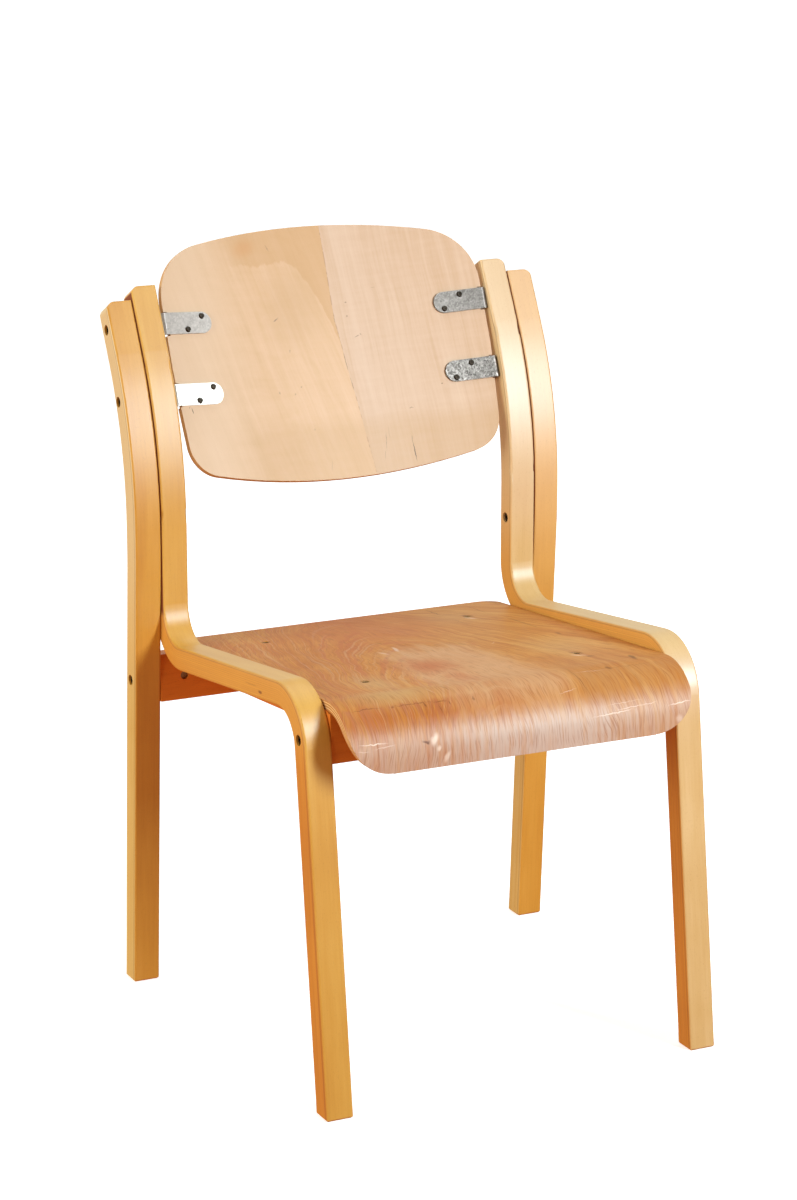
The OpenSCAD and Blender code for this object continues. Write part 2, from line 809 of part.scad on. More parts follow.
// The left brackets are the same part turned half round, so their screws keep the same slant
module bracket(side, place) {
    difference() {
        on_side(side) on_panel()
            translate([0, 0, place])
            intersection() {
                linear_extrude(height = block, center = true) bracket_section();
                rotate([90, 0, 0]) linear_extrude(height = block, center = true) bracket_face();
            }
        on_panel() at_plate_screws() plate_screw_shank(fit);
        on_side(side) at_bracket_bolts()
            translate([nut_face - overrun, 0, 0]) rotate([0, 90, 0])
            cylinder(d = bolt_diameter + 2 * bolt_fit, h = bracket_thickness + 2 * overrun);
    }
}

module upper_left_bracket() {
    color("silver") bracket(-1, upper_bracket_rise);
}

module lower_left_bracket() {
    color("silver") bracket(-1, -lower_bracket_drop);
}

module upper_right_bracket() {
    color("silver") bracket(1, upper_bracket_rise);
}

module lower_right_bracket() {
    color("silver") bracket(1, -lower_bracket_drop);
}

// Fasteners

// A socket head bolt whose head seats at x = 0 and whose shank runs along -X
module bolt(length) {
    socket = bolt_head_diameter / 2;
    difference() {
        rotate([0, -90, 0]) {
            cylinder(d = bolt_diameter, h = length);
            translate([0, 0, -bolt_head_height]) cylinder(d = bolt_head_diameter, h = bolt_head_height);
        }
        translate([bolt_head_height / 2, 0, 0]) rotate([0, 90, 0])
            cylinder(d = socket, h = bolt_head_height, $fn = 6);
    }
}

module bracket_bolts() {
    color("dimgray") on_both_sides() at_bracket_bolts()
        translate([chair_outer - counterbore_depth, 0, 0]) bolt(bracket_bolt_length);
}

module bracket_nuts() {
    color("gray") on_both_sides() at_bracket_bolts()
        difference() {
            translate([nut_face - nut_height, 0, 0]) rotate([0, 90, 0])
                cylinder(d = nut_width / cos(30), h = nut_height, $fn = 6);
            translate([nut_face - nut_height - overrun, 0, 0]) rotate([0, 90, 0])
                cylinder(d = bolt_diameter + 2 * fit, h = nut_height + 2 * overrun);
        }
}

module plate_screw() {
    slot = plate_screw_head * slot_share;
    difference() {
        union() {
            plate_screw_shank(0);
            translate([0, head_face, 0]) rotate([90, 0, 0])
                cylinder(d1 = plate_screw_head, d2 = plate_screw_head * head_top_share,
                    h = plate_screw_head_height);
        }
        for (a = [0, 90])
            translate([0, head_face - plate_screw_head_height, 0]) rotate([0, a, 0])
                cube([plate_screw_head / 2, plate_screw_head_height, slot], center = true);
    }
}

module bracket_screws() {
    color("dimgray") on_panel() at_plate_screws() plate_screw();
}

module rail_bolts() {
    color("dimgray") on_both_sides() {
        at_rail(rear_rail_place)
            translate([chair_outer - counterbore_depth, 0, 0]) bolt(rail_bolt_length);
        at_rail(front_rail_place)
            translate([frame_outer - counterbore_depth, 0, 0]) bolt(rail_bolt_length);
    }
}

module barrel_nut() {
    difference() {
        rotate([90, 0, 0])
            cylinder(d = barrel_nut_diameter, h = barrel_nut_length, center = true);
        rotate([0, 90, 0])
            cylinder(d = bolt_diameter + 2 * fit, h = 2 * barrel_nut_diameter, center = true);
    }
}

module barrel_nuts() {
    color("gray") on_both_sides() {
        at_rail(rear_rail_place) translate([frame_outer - barrel_nut_place, 0, 0]) barrel_nut();
        at_rail(front_rail_place) translate([frame_inner - barrel_nut_place, 0, 0]) barrel_nut();
    }
}

module joint_bolts() {
    color("dimgray") on_both_sides() at_joint_bolt()
        translate([frame_inner + counterbore_depth, 0, 0]) mirror([1, 0, 0]) bolt(joint_bolt_length);
}

module threaded_inserts() {
    color("darkgoldenrod") on_both_sides() at_joint_bolt()
        translate([frame_outer, 0, 0]) rotate([0, 90, 0])
        difference() {
            cylinder(d = insert_diameter, h = insert_length);
            translate([0, 0, -overrun])
                cylinder(d = bolt_diameter + 2 * fit, h = insert_length + 2 * overrun);
        }
}

module seat_screws() {
    slot = seat_screw_head * slot_share;
    color("dimgray") at_seat_screws()
        difference() {
            seat_screw_body(0);
            for (a = [0, 90]) rotate([0, 0, a])
                cube([seat_screw_head / 2, slot, seat_screw_diameter], center = true);
        }
}

module dowel() {
    cylinder(d = dowel_diameter, h = dowel_length);
}

module rail_dowels() {
    color("tan") on_both_sides() {
        at_rail_dowels(rear_rail_place)
            translate([frame_outer + dowel_seat_depth, 0, 0]) rotate([0, -90, 0]) dowel();
        at_rail_dowels(front_rail_place)
            translate([frame_inner + dowel_seat_depth, 0, 0]) rotate([0, -90, 0]) dowel();
    }
}

module bearer_dowels() {
    color("tan") {
        at_bearer_dowels(bearer_start, 1) translate([0, 0, -dowel_seat_depth]) dowel();
        at_bearer_dowels(bearer_start + bearer_length, -1)
            translate([0, 0, -dowel_seat_depth]) dowel();
    }
}

left_side_frame();
right_side_frame();
left_rear_leg();
right_rear_leg();
seat_panel();
front_rail();
rear_rail();
left_bearer();
right_bearer();
back_panel();
upper_left_bracket();
lower_left_bracket();
upper_right_bracket();
lower_right_bracket();
bracket_bolts();
bracket_nuts();
bracket_screws();
rail_bolts();
barrel_nuts();
joint_bolts();
threaded_inserts();
seat_screws();
rail_dowels();
bearer_dowels();
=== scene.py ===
import math

import bpy
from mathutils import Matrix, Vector


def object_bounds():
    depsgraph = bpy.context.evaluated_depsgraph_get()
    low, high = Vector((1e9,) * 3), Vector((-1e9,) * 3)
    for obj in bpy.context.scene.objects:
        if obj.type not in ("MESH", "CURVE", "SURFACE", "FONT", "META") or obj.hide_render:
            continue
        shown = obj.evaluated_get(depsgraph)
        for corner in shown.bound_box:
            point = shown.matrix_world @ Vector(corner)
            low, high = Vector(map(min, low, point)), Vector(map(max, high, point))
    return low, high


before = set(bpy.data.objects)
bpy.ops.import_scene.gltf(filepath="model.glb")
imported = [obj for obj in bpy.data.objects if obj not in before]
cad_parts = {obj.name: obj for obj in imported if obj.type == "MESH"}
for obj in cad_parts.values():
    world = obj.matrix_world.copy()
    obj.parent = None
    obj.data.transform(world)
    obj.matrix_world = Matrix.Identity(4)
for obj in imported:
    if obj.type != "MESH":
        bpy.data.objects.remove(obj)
cad_low, cad_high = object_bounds()

# Lengths are in metres and angles in degrees. The front of the chair faces -Y.

# Camera, at the photograph's viewing angle

CAMERA_AZIMUTH = -26.07
CAMERA_ELEVATION = 14.76
CAMERA_TARGET = (-0.0335, -0.0398, 0.4880)
CAMERA_DISTANCE = 3.6724
SENSOR_LONG_SIDE = 36.0
CAMERA_LENS = 99.57


def direction(azimuth, elevation):
    """The way from the chair to a place at that azimuth and elevation."""
    a, e = math.radians(azimuth), math.radians(elevation)
    return Vector((math.sin(a) * math.cos(e), -math.cos(a) * math.cos(e), math.sin(e)))


def aim(thing, target, azimuth, elevation, distance):
    """Puts a camera or a light at a distance from the target, and turns it to the target."""
    way = direction(azimuth, elevation)
    thing.location = Vector(target) + way * distance
    thing.rotation_euler = way.to_track_quat("Z", "Y").to_euler()


def add_camera():
    data = bpy.data.cameras.new("photograph_view")
    data.sensor_width = SENSOR_LONG_SIDE
    data.lens = CAMERA_LENS
    camera = bpy.data.objects.new("photograph_view", data)
    bpy.context.scene.collection.objects.link(camera)
    aim(camera, CAMERA_TARGET, CAMERA_AZIMUTH, CAMERA_ELEVATION, CAMERA_DISTANCE)
    bpy.context.scene.camera = camera


add_camera()


# Shader maths

# The sideways part of a normal where a face begins, and where it is sure, to count as one at the side
SIDEWAYS = (0.55, 0.8)


class Field:
    """A number, colour or vector that varies over a surface. Sums and tests of numbers add nodes."""

    def __init__(self, nodes, socket):
        self.nodes = nodes
        self.socket = socket

    def maths(self, operation, *values):
        return self.nodes.node("ShaderNodeMath", {"operation": operation}, dict(enumerate(values)))

    def __add__(self, other):
        return self.maths("ADD", self, other)

    __radd__ = __add__

    def __sub__(self, other):
        return self.maths("SUBTRACT", self, other)

    def __rsub__(self, other):
        return self.maths("SUBTRACT", other, self)

    def __mul__(self, other):
        return self.maths("MULTIPLY", self, other)

    def __truediv__(self, other):
        return self.maths("DIVIDE", self, other)

    def __neg__(self):
        return self.maths("MULTIPLY", self, -1.0)

    def __abs__(self):
        return self.maths("ABSOLUTE", self)

    def __gt__(self, other):
        return self.maths("GREATER_THAN", self, other)

    def __lt__(self, other):
        return self.maths("LESS_THAN", self, other)

    def floor(self):
        return self.maths("FLOOR", self)

    def fraction(self):
        return self.maths("FRACT", self)

    def root(self):
        return self.maths("SQRT", self)

    def angle_from(self, other):
        return self.maths("ARCTAN2", self, other)

    def or_more(self, other):
        """The value, or the other one where that is greater."""
        return self.maths("MAXIMUM", self, other)

    def smooth(self, low, high):
        """From 0 where the value is low to 1 where it is high, with a soft start and end."""
        return self.nodes.node(
            "ShaderNodeMapRange",
            {"interpolation_type": "SMOOTHSTEP"},
            {"Value": self, "From Min": low, "From Max": high},
        )


class Nodes:
    """The node tree of a material or of the air, and the patterns that are made in it."""

    def __init__(self, tree):
        self.tree = tree

    def join(self, socket, value):
        """Gives a socket a value, or links it to a field."""
        if isinstance(value, Field):
            self.tree.links.new(value.socket, socket)
        else:
            socket.default_value = value

    def node(self, kind, settings, sockets, output=0):
        """Adds a node with its settings, then the values or links of its sockets."""
        made = self.tree.nodes.new(kind)
        for key, value in settings.items():
            if key == "stops":
                self.set_stops(made.color_ramp, value)
            else:
                setattr(made, key, value)
        for key, value in sockets.items():
            self.join(made.inputs[key], value)
        return Field(self, made.outputs[output])

    def set_stops(self, ramp, stops):
        while len(ramp.elements) < len(stops):
            ramp.elements.new(1.0)
        for element, (place, colour) in zip(ramp.elements, stops):
            element.position = place
            element.color = colour

    def place(self, kind="Object"):
        """The coordinates of a point in the chair's own frame, or of a way through the air."""
        point = self.node("ShaderNodeTexCoord", {}, {}, output=kind)
        return [self.node("ShaderNodeSeparateXYZ", {}, {0: point}, output=axis) for axis in range(3)]

    def vector(self, x, y, z):
        return self.node("ShaderNodeCombineXYZ", {}, {0: x, 1: y, 2: z})

    def noise(self, x, y, z, detail=2.0, rough=0.5):
        """Noise from 0 to 1 with features about one unit across."""
        sockets = {"Vector": self.vector(x, y, z), "Scale": 1.0, "Detail": detail, "Roughness": rough}
        return self.node("ShaderNodeTexNoise", {}, sockets)

    def grain(self, across, along, width, length, seed, detail=2.0, rough=0.5):
        """Noise in marks of about that width and length, over two places in the same unit."""
        return self.noise(across / width, along / length, seed, detail, rough)

    def chance(self, value):
        """An even random number for each whole value."""
        return self.node("ShaderNodeTexWhiteNoise", {"noise_dimensions": "1D"}, {"W": value})

    def cells(self, x, y, z):
        """A random number for each grain of a crystal pattern: a sum turns its colour into a number."""
        sockets = {"Vector": self.vector(x, y, z), "Scale": 1.0}
        grain = self.node("ShaderNodeTexVoronoi", {}, sockets, output="Color")
        return grain.maths("ADD", grain, 0.0)

    def facing_side(self):
        """From 0 on faces that look forward, back, up or down to 1 on those that look sideways."""
        normal = self.node("ShaderNodeTexCoord", {}, {}, output="Normal")
        sideways = self.node("ShaderNodeSeparateXYZ", {}, {0: normal}, output=0)
        return abs(sideways).smooth(*SIDEWAYS)

    def spot(self, point, place, size, turn, edge):
        """A mark at a place in millimetres: 1 in its middle, and 0 past the edge of its oval."""
        local = self.node(
            "ShaderNodeMapping",
            {"vector_type": "TEXTURE"},
            {
                "Vector": point,
                "Location": (place[0], place[1], 0.0),
                "Rotation": (0.0, 0.0, math.radians(turn)),
                "Scale": (size[0] / 2, size[1] / 2, 1.0),
            },
        )
        reach = self.node("ShaderNodeVectorMath", {"operation": "LENGTH"}, {0: local}, output="Value")
        return 1.0 - reach.smooth(1.0 - edge, 1.0)

    def spots(self, point, marks, edge=0.6):
        """The strongest of several marks, each with place, size, turn in degrees and strength."""
        total = None
        for across, along, width, length, turn, strength in marks:
            one = self.spot(point, (across, along), (width, length), turn, edge) * strength
            total = one if total is None else total.or_more(one)
        return total

    def ramp(self, value, stops):
        return self.node("ShaderNodeValToRGB", {"stops": stops}, {"Fac": value})

    def blend(self, amount, first, second):
        """The first colour, turned into the second by the amount."""
        sockets = {0: amount, 6: first, 7: second}
        return self.node("ShaderNodeMix", {"data_type": "RGBA"}, sockets, output=2)

    def bump(self, height, strength, depth):
        sockets = {"Height": height, "Strength": strength, "Distance": depth}
        return self.node("ShaderNodeBump", {}, sockets)


class Finish(Nodes):
    """A material in the making: a Principled shader and the nodes that drive it."""

    def __init__(self, name, roughness=0.4, metallic=0.0, coat=0.0, coat_roughness=0.1, specular=0.5):
        self.material = bpy.data.materials.new(name)
        self.material.use_nodes = True
        super().__init__(self.material.node_tree)
        self.shader = self.tree.nodes["Principled BSDF"]
        self.feed("Roughness", roughness)
        self.feed("Metallic", metallic)
        self.feed("Coat Weight", coat)
        self.feed("Coat Roughness", coat_roughness)
        self.feed("Specular IOR Level", specular)

    def feed(self, socket, value):
        self.join(self.shader.inputs[socket], value)


def colour(red, green, blue):
    """A display colour of 0 to 255 as the linear colour of a shader."""
    def linear(value):
        share = value / 255
        return share / 12.92 if share <= 0.04045 else ((share + 0.055) / 1.055) ** 2.4

    return (linear(red), linear(green), linear(blue), 1.0)


# Sizes of the bent strips, as they are in the frame

STRIP_THICKNESS = 0.027
FRONT_LEG_LEAN = 7.1
RAIL_FALL = 6.7
BEND_RADIUS = 0.0525
CORNER_HEIGHT = 0.4615
CURVE_RADIUS = 0.4025
CURVE_START = 0.552
TOP_LEAN = 27.5
UPRIGHT_SETBACK = 0.435
REAR_FOOT_SETBACK = 0.4665
KNEE_HEIGHT = 0.515
KNEE_RADIUS = 0.6

HALF_STRIP = STRIP_THICKNESS / 2
FRONT = cad_low.y
UPRIGHT_MIDDLE = FRONT + UPRIGHT_SETBACK + HALF_STRIP
# The line where the upright starts rises to the front, so that the front corner stays below it
START_LINE_RISE = 0.25
# Millimetres in a metre
MM = 1000.0


def heading(lean):
    """The way along a strip that leans back by that angle, as (Y, Z), and the way out of its front."""
    a = math.radians(lean)
    return Vector((math.sin(a), math.cos(a))), Vector((-math.cos(a), math.sin(a)))


def crossing(point, way, other_point, other_way):
    """Where two lines in the side view meet."""
    gap = other_point - point
    cross = way.x * other_way.y - way.y * other_way.x
    return point + way * ((gap.x * other_way.y - gap.y * other_way.x) / cross)


def side_frame_path():
    """Straight runs and bends of a side frame, each with the place and the lean where it starts.

    A run also says how much its start line rises to the front, and a bend gives its turn and radius.
    """
    leg_way, _ = heading(FRONT_LEG_LEAN)
    rail_lean = 90 + RAIL_FALL
    rail_way, rail_out = heading(rail_lean)
    foot = Vector((FRONT + HALF_STRIP / leg_way.y, 0.0))
    corner = Vector((FRONT + CORNER_HEIGHT * leg_way.x / leg_way.y, CORNER_HEIGHT))
    rail_point = corner - rail_out * HALF_STRIP
    front_corner = crossing(foot, leg_way, rail_point, rail_way)
    rear_corner = crossing(Vector((UPRIGHT_MIDDLE, 0.0)), Vector((0.0, 1.0)), rail_point, rail_way)
    front_turn = rail_lean - FRONT_LEG_LEAN
    front_reach = BEND_RADIUS * math.tan(math.radians(front_turn / 2))
    rear_reach = BEND_RADIUS * math.tan(math.radians(rail_lean / 2))
    upright_start = rear_corner + Vector((0.0, rear_reach))
    curve_start = Vector((UPRIGHT_MIDDLE, CURVE_START))
    return [
        ("run", foot, FRONT_LEG_LEAN, 0.0),
        ("bend", front_corner - leg_way * front_reach, FRONT_LEG_LEAN, front_turn, BEND_RADIUS),
        ("run", front_corner + rail_way * front_reach, rail_lean, 0.0),
        ("bend", rear_corner - rail_way * rear_reach, rail_lean, -rail_lean, BEND_RADIUS),
        ("run", upright_start, 0.0, START_LINE_RISE),
        ("bend", curve_start, 0.0, TOP_LEAN, CURVE_RADIUS),
        ("run", after_curve(curve_start), TOP_LEAN, 0.0),
    ]


def after_curve(start):
    """Where the curved stretch of an upright ends."""
    a = math.radians(TOP_LEAN)
    return start + CURVE_RADIUS * Vector((1 - math.cos(a), math.sin(a)))


def rear_leg_path():
    """Straight runs and bends of a rear leg and its upright, given as those of a side frame."""
    rake = math.degrees(math.atan((REAR_FOOT_SETBACK - UPRIGHT_SETBACK) / KNEE_HEIGHT))
    way, _ = heading(-rake)
    reach = KNEE_RADIUS * math.tan(math.radians(rake / 2))
    foot = Vector((FRONT + REAR_FOOT_SETBACK + HALF_STRIP / way.y, 0.0))
    knee = crossing(foot, way, Vector((UPRIGHT_MIDDLE, 0.0)), Vector((0.0, 1.0)))
    curve_start = Vector((UPRIGHT_MIDDLE, CURVE_START))
    return [
        ("run", foot, -rake, 0.0),
        ("bend", knee - way * reach, -rake, rake, KNEE_RADIUS),
        ("run", knee + Vector((0.0, reach)), 0.0, 0.0),
        ("bend", curve_start, 0.0, TOP_LEAN, CURVE_RADIUS),
        ("run", after_curve(curve_start), TOP_LEAN, 0.0),
    ]


def follow_strip(y, z, path):
    """Length along a bent strip and depth towards its front, from a place in the side view."""
    along, depth, gone = None, None, 0.0
    for number, (kind, start, lean, *rest) in enumerate(path):
        way, out = heading(lean)
        ahead = (y - start.x) * way.x + (z - start.y) * way.y
        if kind == "run":
            rise = rest[0]
            new_along = ahead + gone
            new_depth = (y - start.x) * out.x + (z - start.y) * out.y
            past = (y - start.x) * (way.x + rise) + (z - start.y) * way.y
            if number + 1 < len(path):
                gone += (path[number + 1][1] - start).length
        else:
            turn, radius = rest
            side = 1.0 if turn > 0 else -1.0
            centre = start - side * radius * out
            from_y = y - centre.x
            from_z = z - centre.y
            reach = (from_y * from_y + from_z * from_z).root()
            onward = from_y * way.x + from_z * way.y
            outward = (from_y * out.x + from_z * out.y) * side
            new_along = onward.angle_from(outward) * radius + gone
            new_depth = (reach - radius) * side
            past = ahead
            gone += radius * math.radians(abs(turn))
        if along is None:
            along, depth = new_along, new_depth
        else:
            chosen = past > 0.0
            along = along + (new_along - along) * chosen
            depth = depth + (new_depth - depth) * chosen
    return along, depth


# Wood of the bent strips: thin layers that follow each bend, under clear lacquer.
# A row of tones has its place between dark and light, then its red, green and blue.

LAYER = 0.00225
GLUE_LINE = 0.00022
STRIP_WIDTH = 0.032
STRIP_JOINT = cad_high.x - STRIP_WIDTH
FACE_GOLD = [(0.28, 210, 146, 46), (0.45, 220, 160, 56), (0.58, 226, 169, 68), (0.76, 232, 180, 86)]
FACE_AMBER = [(0.28, 212, 152, 52), (0.45, 221, 165, 64), (0.58, 227, 175, 76), (0.76, 233, 187, 94)]
# Paler faces of the right frame: a painted sheen for the key light, whose reflection falls nearer them
FACE_PALE_SHEEN = [(0.28, 212, 170, 103), (0.45, 220, 182, 120), (0.58, 226, 191, 134), (0.76, 232, 201, 149)]
CUT_PALE = [(0.28, 216, 178, 98), (0.45, 224, 190, 114), (0.58, 230, 200, 128), (0.76, 236, 209, 144)]
CUT_EDGE = [(0.28, 200, 124, 26), (0.45, 213, 138, 34), (0.58, 221, 150, 44), (0.76, 229, 164, 60)]
GLUE = (122, 62, 20)
FLECK = (158, 90, 36)
YELLOW_EDGE = (238, 192, 96)
# Pale of the rubbed cut edges: worn, and partly a painted sheen
RUBBED_SHEEN_EDGE = (232, 212, 172)
# Pale peach painted on the right side's faces: a painted sheen for the key light's highlight
PAINTED_SHEEN = (234, 206, 176)
# Colour painted into the bottom of the groove to darken it
GROOVE_DARK = (128, 52, 8)
# How strongly the yellow, the painted sheen and the painted dark groove line cover the wood
YELLOW = 0.4
SHEEN_STRENGTH = 0.42
CORNER_SHEEN = 1.7
GROOVE_DARKNESS = 0.94
# Heights, and a setback from the chair's front, between which each of them comes in
YELLOW_HEIGHTS = (0.37, 0.42)
CORNER_SHEEN_HEIGHTS = (0.36, 0.43)
CORNER_SETBACK = 0.04
CORNER_FADE = 0.06
POLISH_HEIGHTS = (0.45, 0.7)
# The groove where the two strips of an upright meet: half its width, its rounded lips and its foot
GROOVE_HALF = 0.0013
LIP = 0.0031
LIP_FADE = 0.0007
GROOVE_FOOT = 0.445
GROOVE_FADE = 0.01
GROOVE_REACH = 0.03
COAT = 0.3
COAT_IOR = 1.7
LACQUER_TINT = (0.60, 0.84, 1.0, 1.0)


def stops(rows):
    """Rows of a place and a display colour, as the stops of a ramp."""
    return [(place, colour(*shade)) for place, *shade in rows]


def strip_groove(x, y, z):
    """The lips and the bottom of the groove between the two strips of an upright."""
    off_joint = abs(abs(x) - STRIP_JOINT)
    upright = z.smooth(GROOVE_FOOT, GROOVE_FOOT + GROOVE_FADE) * (y > UPRIGHT_MIDDLE - GROOVE_REACH)
    lips = (1.0 - off_joint.smooth(LIP, LIP + LIP_FADE)) * upright
    bottom = (1.0 - off_joint.smooth(GROOVE_HALF * 0.5, GROOVE_HALF)) * upright
    return lips, bottom


def painted_sheen_share(y, z, side, heights):
    """How strongly a painted sheen covers a place: most on top of the front corner, then up the upright."""
    corner_start = FRONT + CORNER_SETBACK
    corner = z.smooth(*CORNER_SHEEN_HEIGHTS) * (1.0 - y.smooth(corner_start, corner_start + CORNER_FADE))
    sheen_amount = (corner * CORNER_SHEEN).or_more(z.smooth(*heights))
    return sheen_amount * (1.0 - side * 0.7) * SHEEN_STRENGTH


def glue_lines(depth, share, own):
    """Glue between the layers, darker in some than in others, and darkest behind the front layer."""
    off_line = (0.5 - abs(share - 0.5)) * LAYER
    line = 1.0 - off_line.smooth(GLUE_LINE * 0.4, GLUE_LINE * 1.8)
    line = line * (own * 0.32 + 0.06)
    front_line = 1.0 - abs(depth - (HALF_STRIP - LAYER)).smooth(GLUE_LINE, GLUE_LINE * 3.0)
    return line.or_more(front_line * 0.42)


def bent_wood(name, path, seed, face, cut, rubbed_sheen_heights, sheen_heights, knots):
    """Wood of one bent strip, with the tones of its faces and its cut edges and the heights of wear and of
    painted sheen.
    """
    finish = Finish(name, coat_roughness=0.4, specular=0.9)
    finish.feed("Coat IOR", COAT_IOR)
    finish.feed("Specular Tint", LACQUER_TINT)
    x, y, z = finish.place()
    along, depth = follow_strip(y, z, path)
    # The lips of the groove are rounded over, so they look like the faces
    lips, groove = strip_groove(x, y, z)
    side = finish.facing_side() * (1.0 - lips)
    layer = (depth + HALF_STRIP) / LAYER + 0.5
    number = layer.floor() + seed
    own = finish.chance(number)
    shifted = along + own * 3.0
    # Broad figure, streaks and fibres, each stretched along the strip
    figure = finish.noise(shifted * 5.0, x * 60.0, number * 0.37, detail=3.0, rough=0.55)
    streaks = finish.noise(shifted * 14.0, x * 420.0, depth * 300.0, detail=3.0, rough=0.6)
    fibres = finish.noise(shifted * 90.0, x * 2400.0, depth * 1800.0)
    flecks = finish.noise(shifted * 330.0, x * 1900.0, depth * 1900.0, detail=1.0).smooth(0.66, 0.74)
    cloud = finish.noise(along * 9.0, x * 9.0 + seed, z * 9.0)
    tone = figure * 0.45 + streaks * 0.22 + own * 0.12 + cloud * 0.3 - 0.05
    base = finish.blend(side, finish.ramp(tone, stops(face)), finish.ramp(tone, stops(cut)))
    # The cut edges are yellower along the rail and rubbed pale above it, where the chair is taken hold of;
    # that pale is partly a painted sheen
    base = finish.blend(side * z.smooth(*YELLOW_HEIGHTS) * YELLOW, base, colour(*YELLOW_EDGE))
    base = finish.blend(side * z.smooth(*rubbed_sheen_heights), base, colour(*RUBBED_SHEEN_EDGE))
    # A painted sheen on the right side, standing in for the key light's highlight on its faces
    if sheen_heights:
        base = finish.blend(painted_sheen_share(y, z, side, sheen_heights), base, colour(*PAINTED_SHEEN))
    base = finish.blend(glue_lines(depth, layer.fraction(), own) * side, base, colour(*GLUE))
    base = finish.blend(flecks * 0.3, base, colour(*FLECK))
    base = finish.blend(fibres.smooth(0.62, 0.8) * 0.16, base, colour(*FLECK))
    if knots:
        warp = finish.noise(along * 60.0, depth * 260.0, seed)
        point = finish.vector(y * MM + (warp - 0.5) * 5.0, z * MM + (warp - 0.5) * 2.0, 0.0)
        base = finish.blend(finish.spots(point, knots) * side, base, colour(*GLUE))
    # The bottom of the groove is painted darker
    base = finish.blend(groove * GROOVE_DARKNESS, base, colour(*GROOVE_DARK))
    finish.feed("Base Color", base)
    # The lacquer of the cut edges is glossiest where hands have polished it, high on the chair
    polish = z.smooth(*POLISH_HEIGHTS) * 0.4 + 0.05
    finish.feed("Coat Weight", (COAT + (polish - COAT) * side) * (1.0 - groove))
    finish.feed("Roughness", 0.36 + streaks * 0.1 + side * 0.24 + groove * 0.4)
    pull = finish.noise(x * 420.0, y * 14.0, z * 14.0)
    finish.feed("Normal", finish.bump(pull, 0.12, 0.0004))
    return finish.material


# Plywood edges: light and dark plies in turn, in millimetres

PLY_LIGHT = (236, 202, 156)
PLY_DARK = (192, 138, 86)
EDGE_START = 0.5
EDGE_FADE = 0.3
PLIES = 7


def ply_edge(finish, depth, thickness, along):
    """The colour of a plywood edge, and where the edge is."""
    ragged = finish.noise(along * 0.09, depth * 0.6, 4.0)
    step = depth / (thickness / PLIES) + (ragged - 0.5) * 0.25
    band = abs(step * 0.5 - (step * 0.5).floor() - 0.5) * 2.0
    tone = band.smooth(0.35, 0.65) * 0.75 + ragged * 0.35
    shade = finish.ramp(tone, [(0.15, colour(*PLY_LIGHT)), (0.85, colour(*PLY_DARK))])
    edge_end = thickness - EDGE_START
    inside = depth.smooth(EDGE_START, EDGE_START + EDGE_FADE)
    inside = inside * (1.0 - depth.smooth(edge_end - EDGE_FADE, edge_end))
    return shade, inside


# Veneer of the back: two leaves that meet at a seam, seen from the front in millimetres
# to the right of the middle and up from it. The middle's place is given as (Y, Z).

PANEL_LEAN = 22.8
PANEL_MIDDLE = Vector((0.2261, 0.7355))
PANEL_HOLLOW = 900.0
PANEL_THICKNESS = 9.0
SEAM_SIDE = 17.5
SEAM_BEND = 20.0
SEAM_SLANT = 0.11
SEAM_BLUR = 0.4
ARCH_SIDE = -38.0
ARCH_RISE = 94.0
ARCH_SPREAD = 0.03
LEFT_LEAF = [(0.30, 202, 163, 118), (0.45, 212, 175, 134), (0.55, 217, 181, 144), (0.70, 223, 190, 157)]
RIGHT_LEAF = [(0.30, 199, 165, 131), (0.45, 207, 176, 148), (0.55, 212, 183, 158), (0.70, 218, 192, 169)]
PALE_SIDE = (226, 202, 176)
HEARTWOOD = (194, 148, 86)
WARM_WOOD = (204, 140, 70)
YELLOW_STRETCH = (190, 150, 96)
SEAM_LINE = (150, 100, 56)
PANEL_FIBRE = (186, 134, 82)
PANEL_PORE = (170, 116, 70)
PANEL_FLECK = (104, 74, 52)
PANEL_CRACK = (66, 38, 22)
# Sides and drops between which the left edge turns pale and the lower edge turns yellow
PALE_SIDES = (-170.0, -70.0)
FOOT_SIDES = (-150.0, -80.0)
FOOT_DROPS = (84.0, 116.0)
# Place, size and turn of the warm patch above the arch and of the yellow one left of the seam
WARM_PATCH = ((-84.0, 112.0), (44.0, 30.0), 20.0)
BELLY_PATCH = ((-36.0, 40.0), (110.0, 150.0), -7.0)
# Side, rise, width, length, turn and strength of each mark
PANEL_FLECKS = [
    (35.0, 40.0, 3.5, 2.5, 0.0, 0.55),
    (34.0, 24.0, 3.0, 3.0, 0.0, 0.5),
    (42.0, -1.0, 9.0, 1.8, 20.0, 0.55),
    (47.0, 1.0, 2.0, 5.0, 30.0, 0.45),
    (-57.0, 26.0, 11.0, 2.2, 32.0, 0.6),
    (-46.0, -12.0, 3.0, 5.0, 0.0, 0.3),
    (-39.0, -55.0, 2.6, 2.2, 0.0, 0.5),
    (-68.0, -60.0, 2.4, 5.0, 25.0, 0.35),
    (-48.0, -63.0, 2.4, 3.0, 0.0, 0.35),
    (94.0, -92.0, 8.0, 2.0, 4.0, 0.5),
    (136.0, -68.0, 2.6, 2.6, 0.0, 0.7),
    (-53.0, 111.0, 2.5, 12.0, 24.0, 0.3),
    (72.0, 55.0, 8.0, 2.0, 10.0, 0.2),
    (150.0, -66.0, 14.0, 10.0, 10.0, 0.12),
    (-31.0, -106.0, 2.0, 3.0, 0.0, 0.35),
]
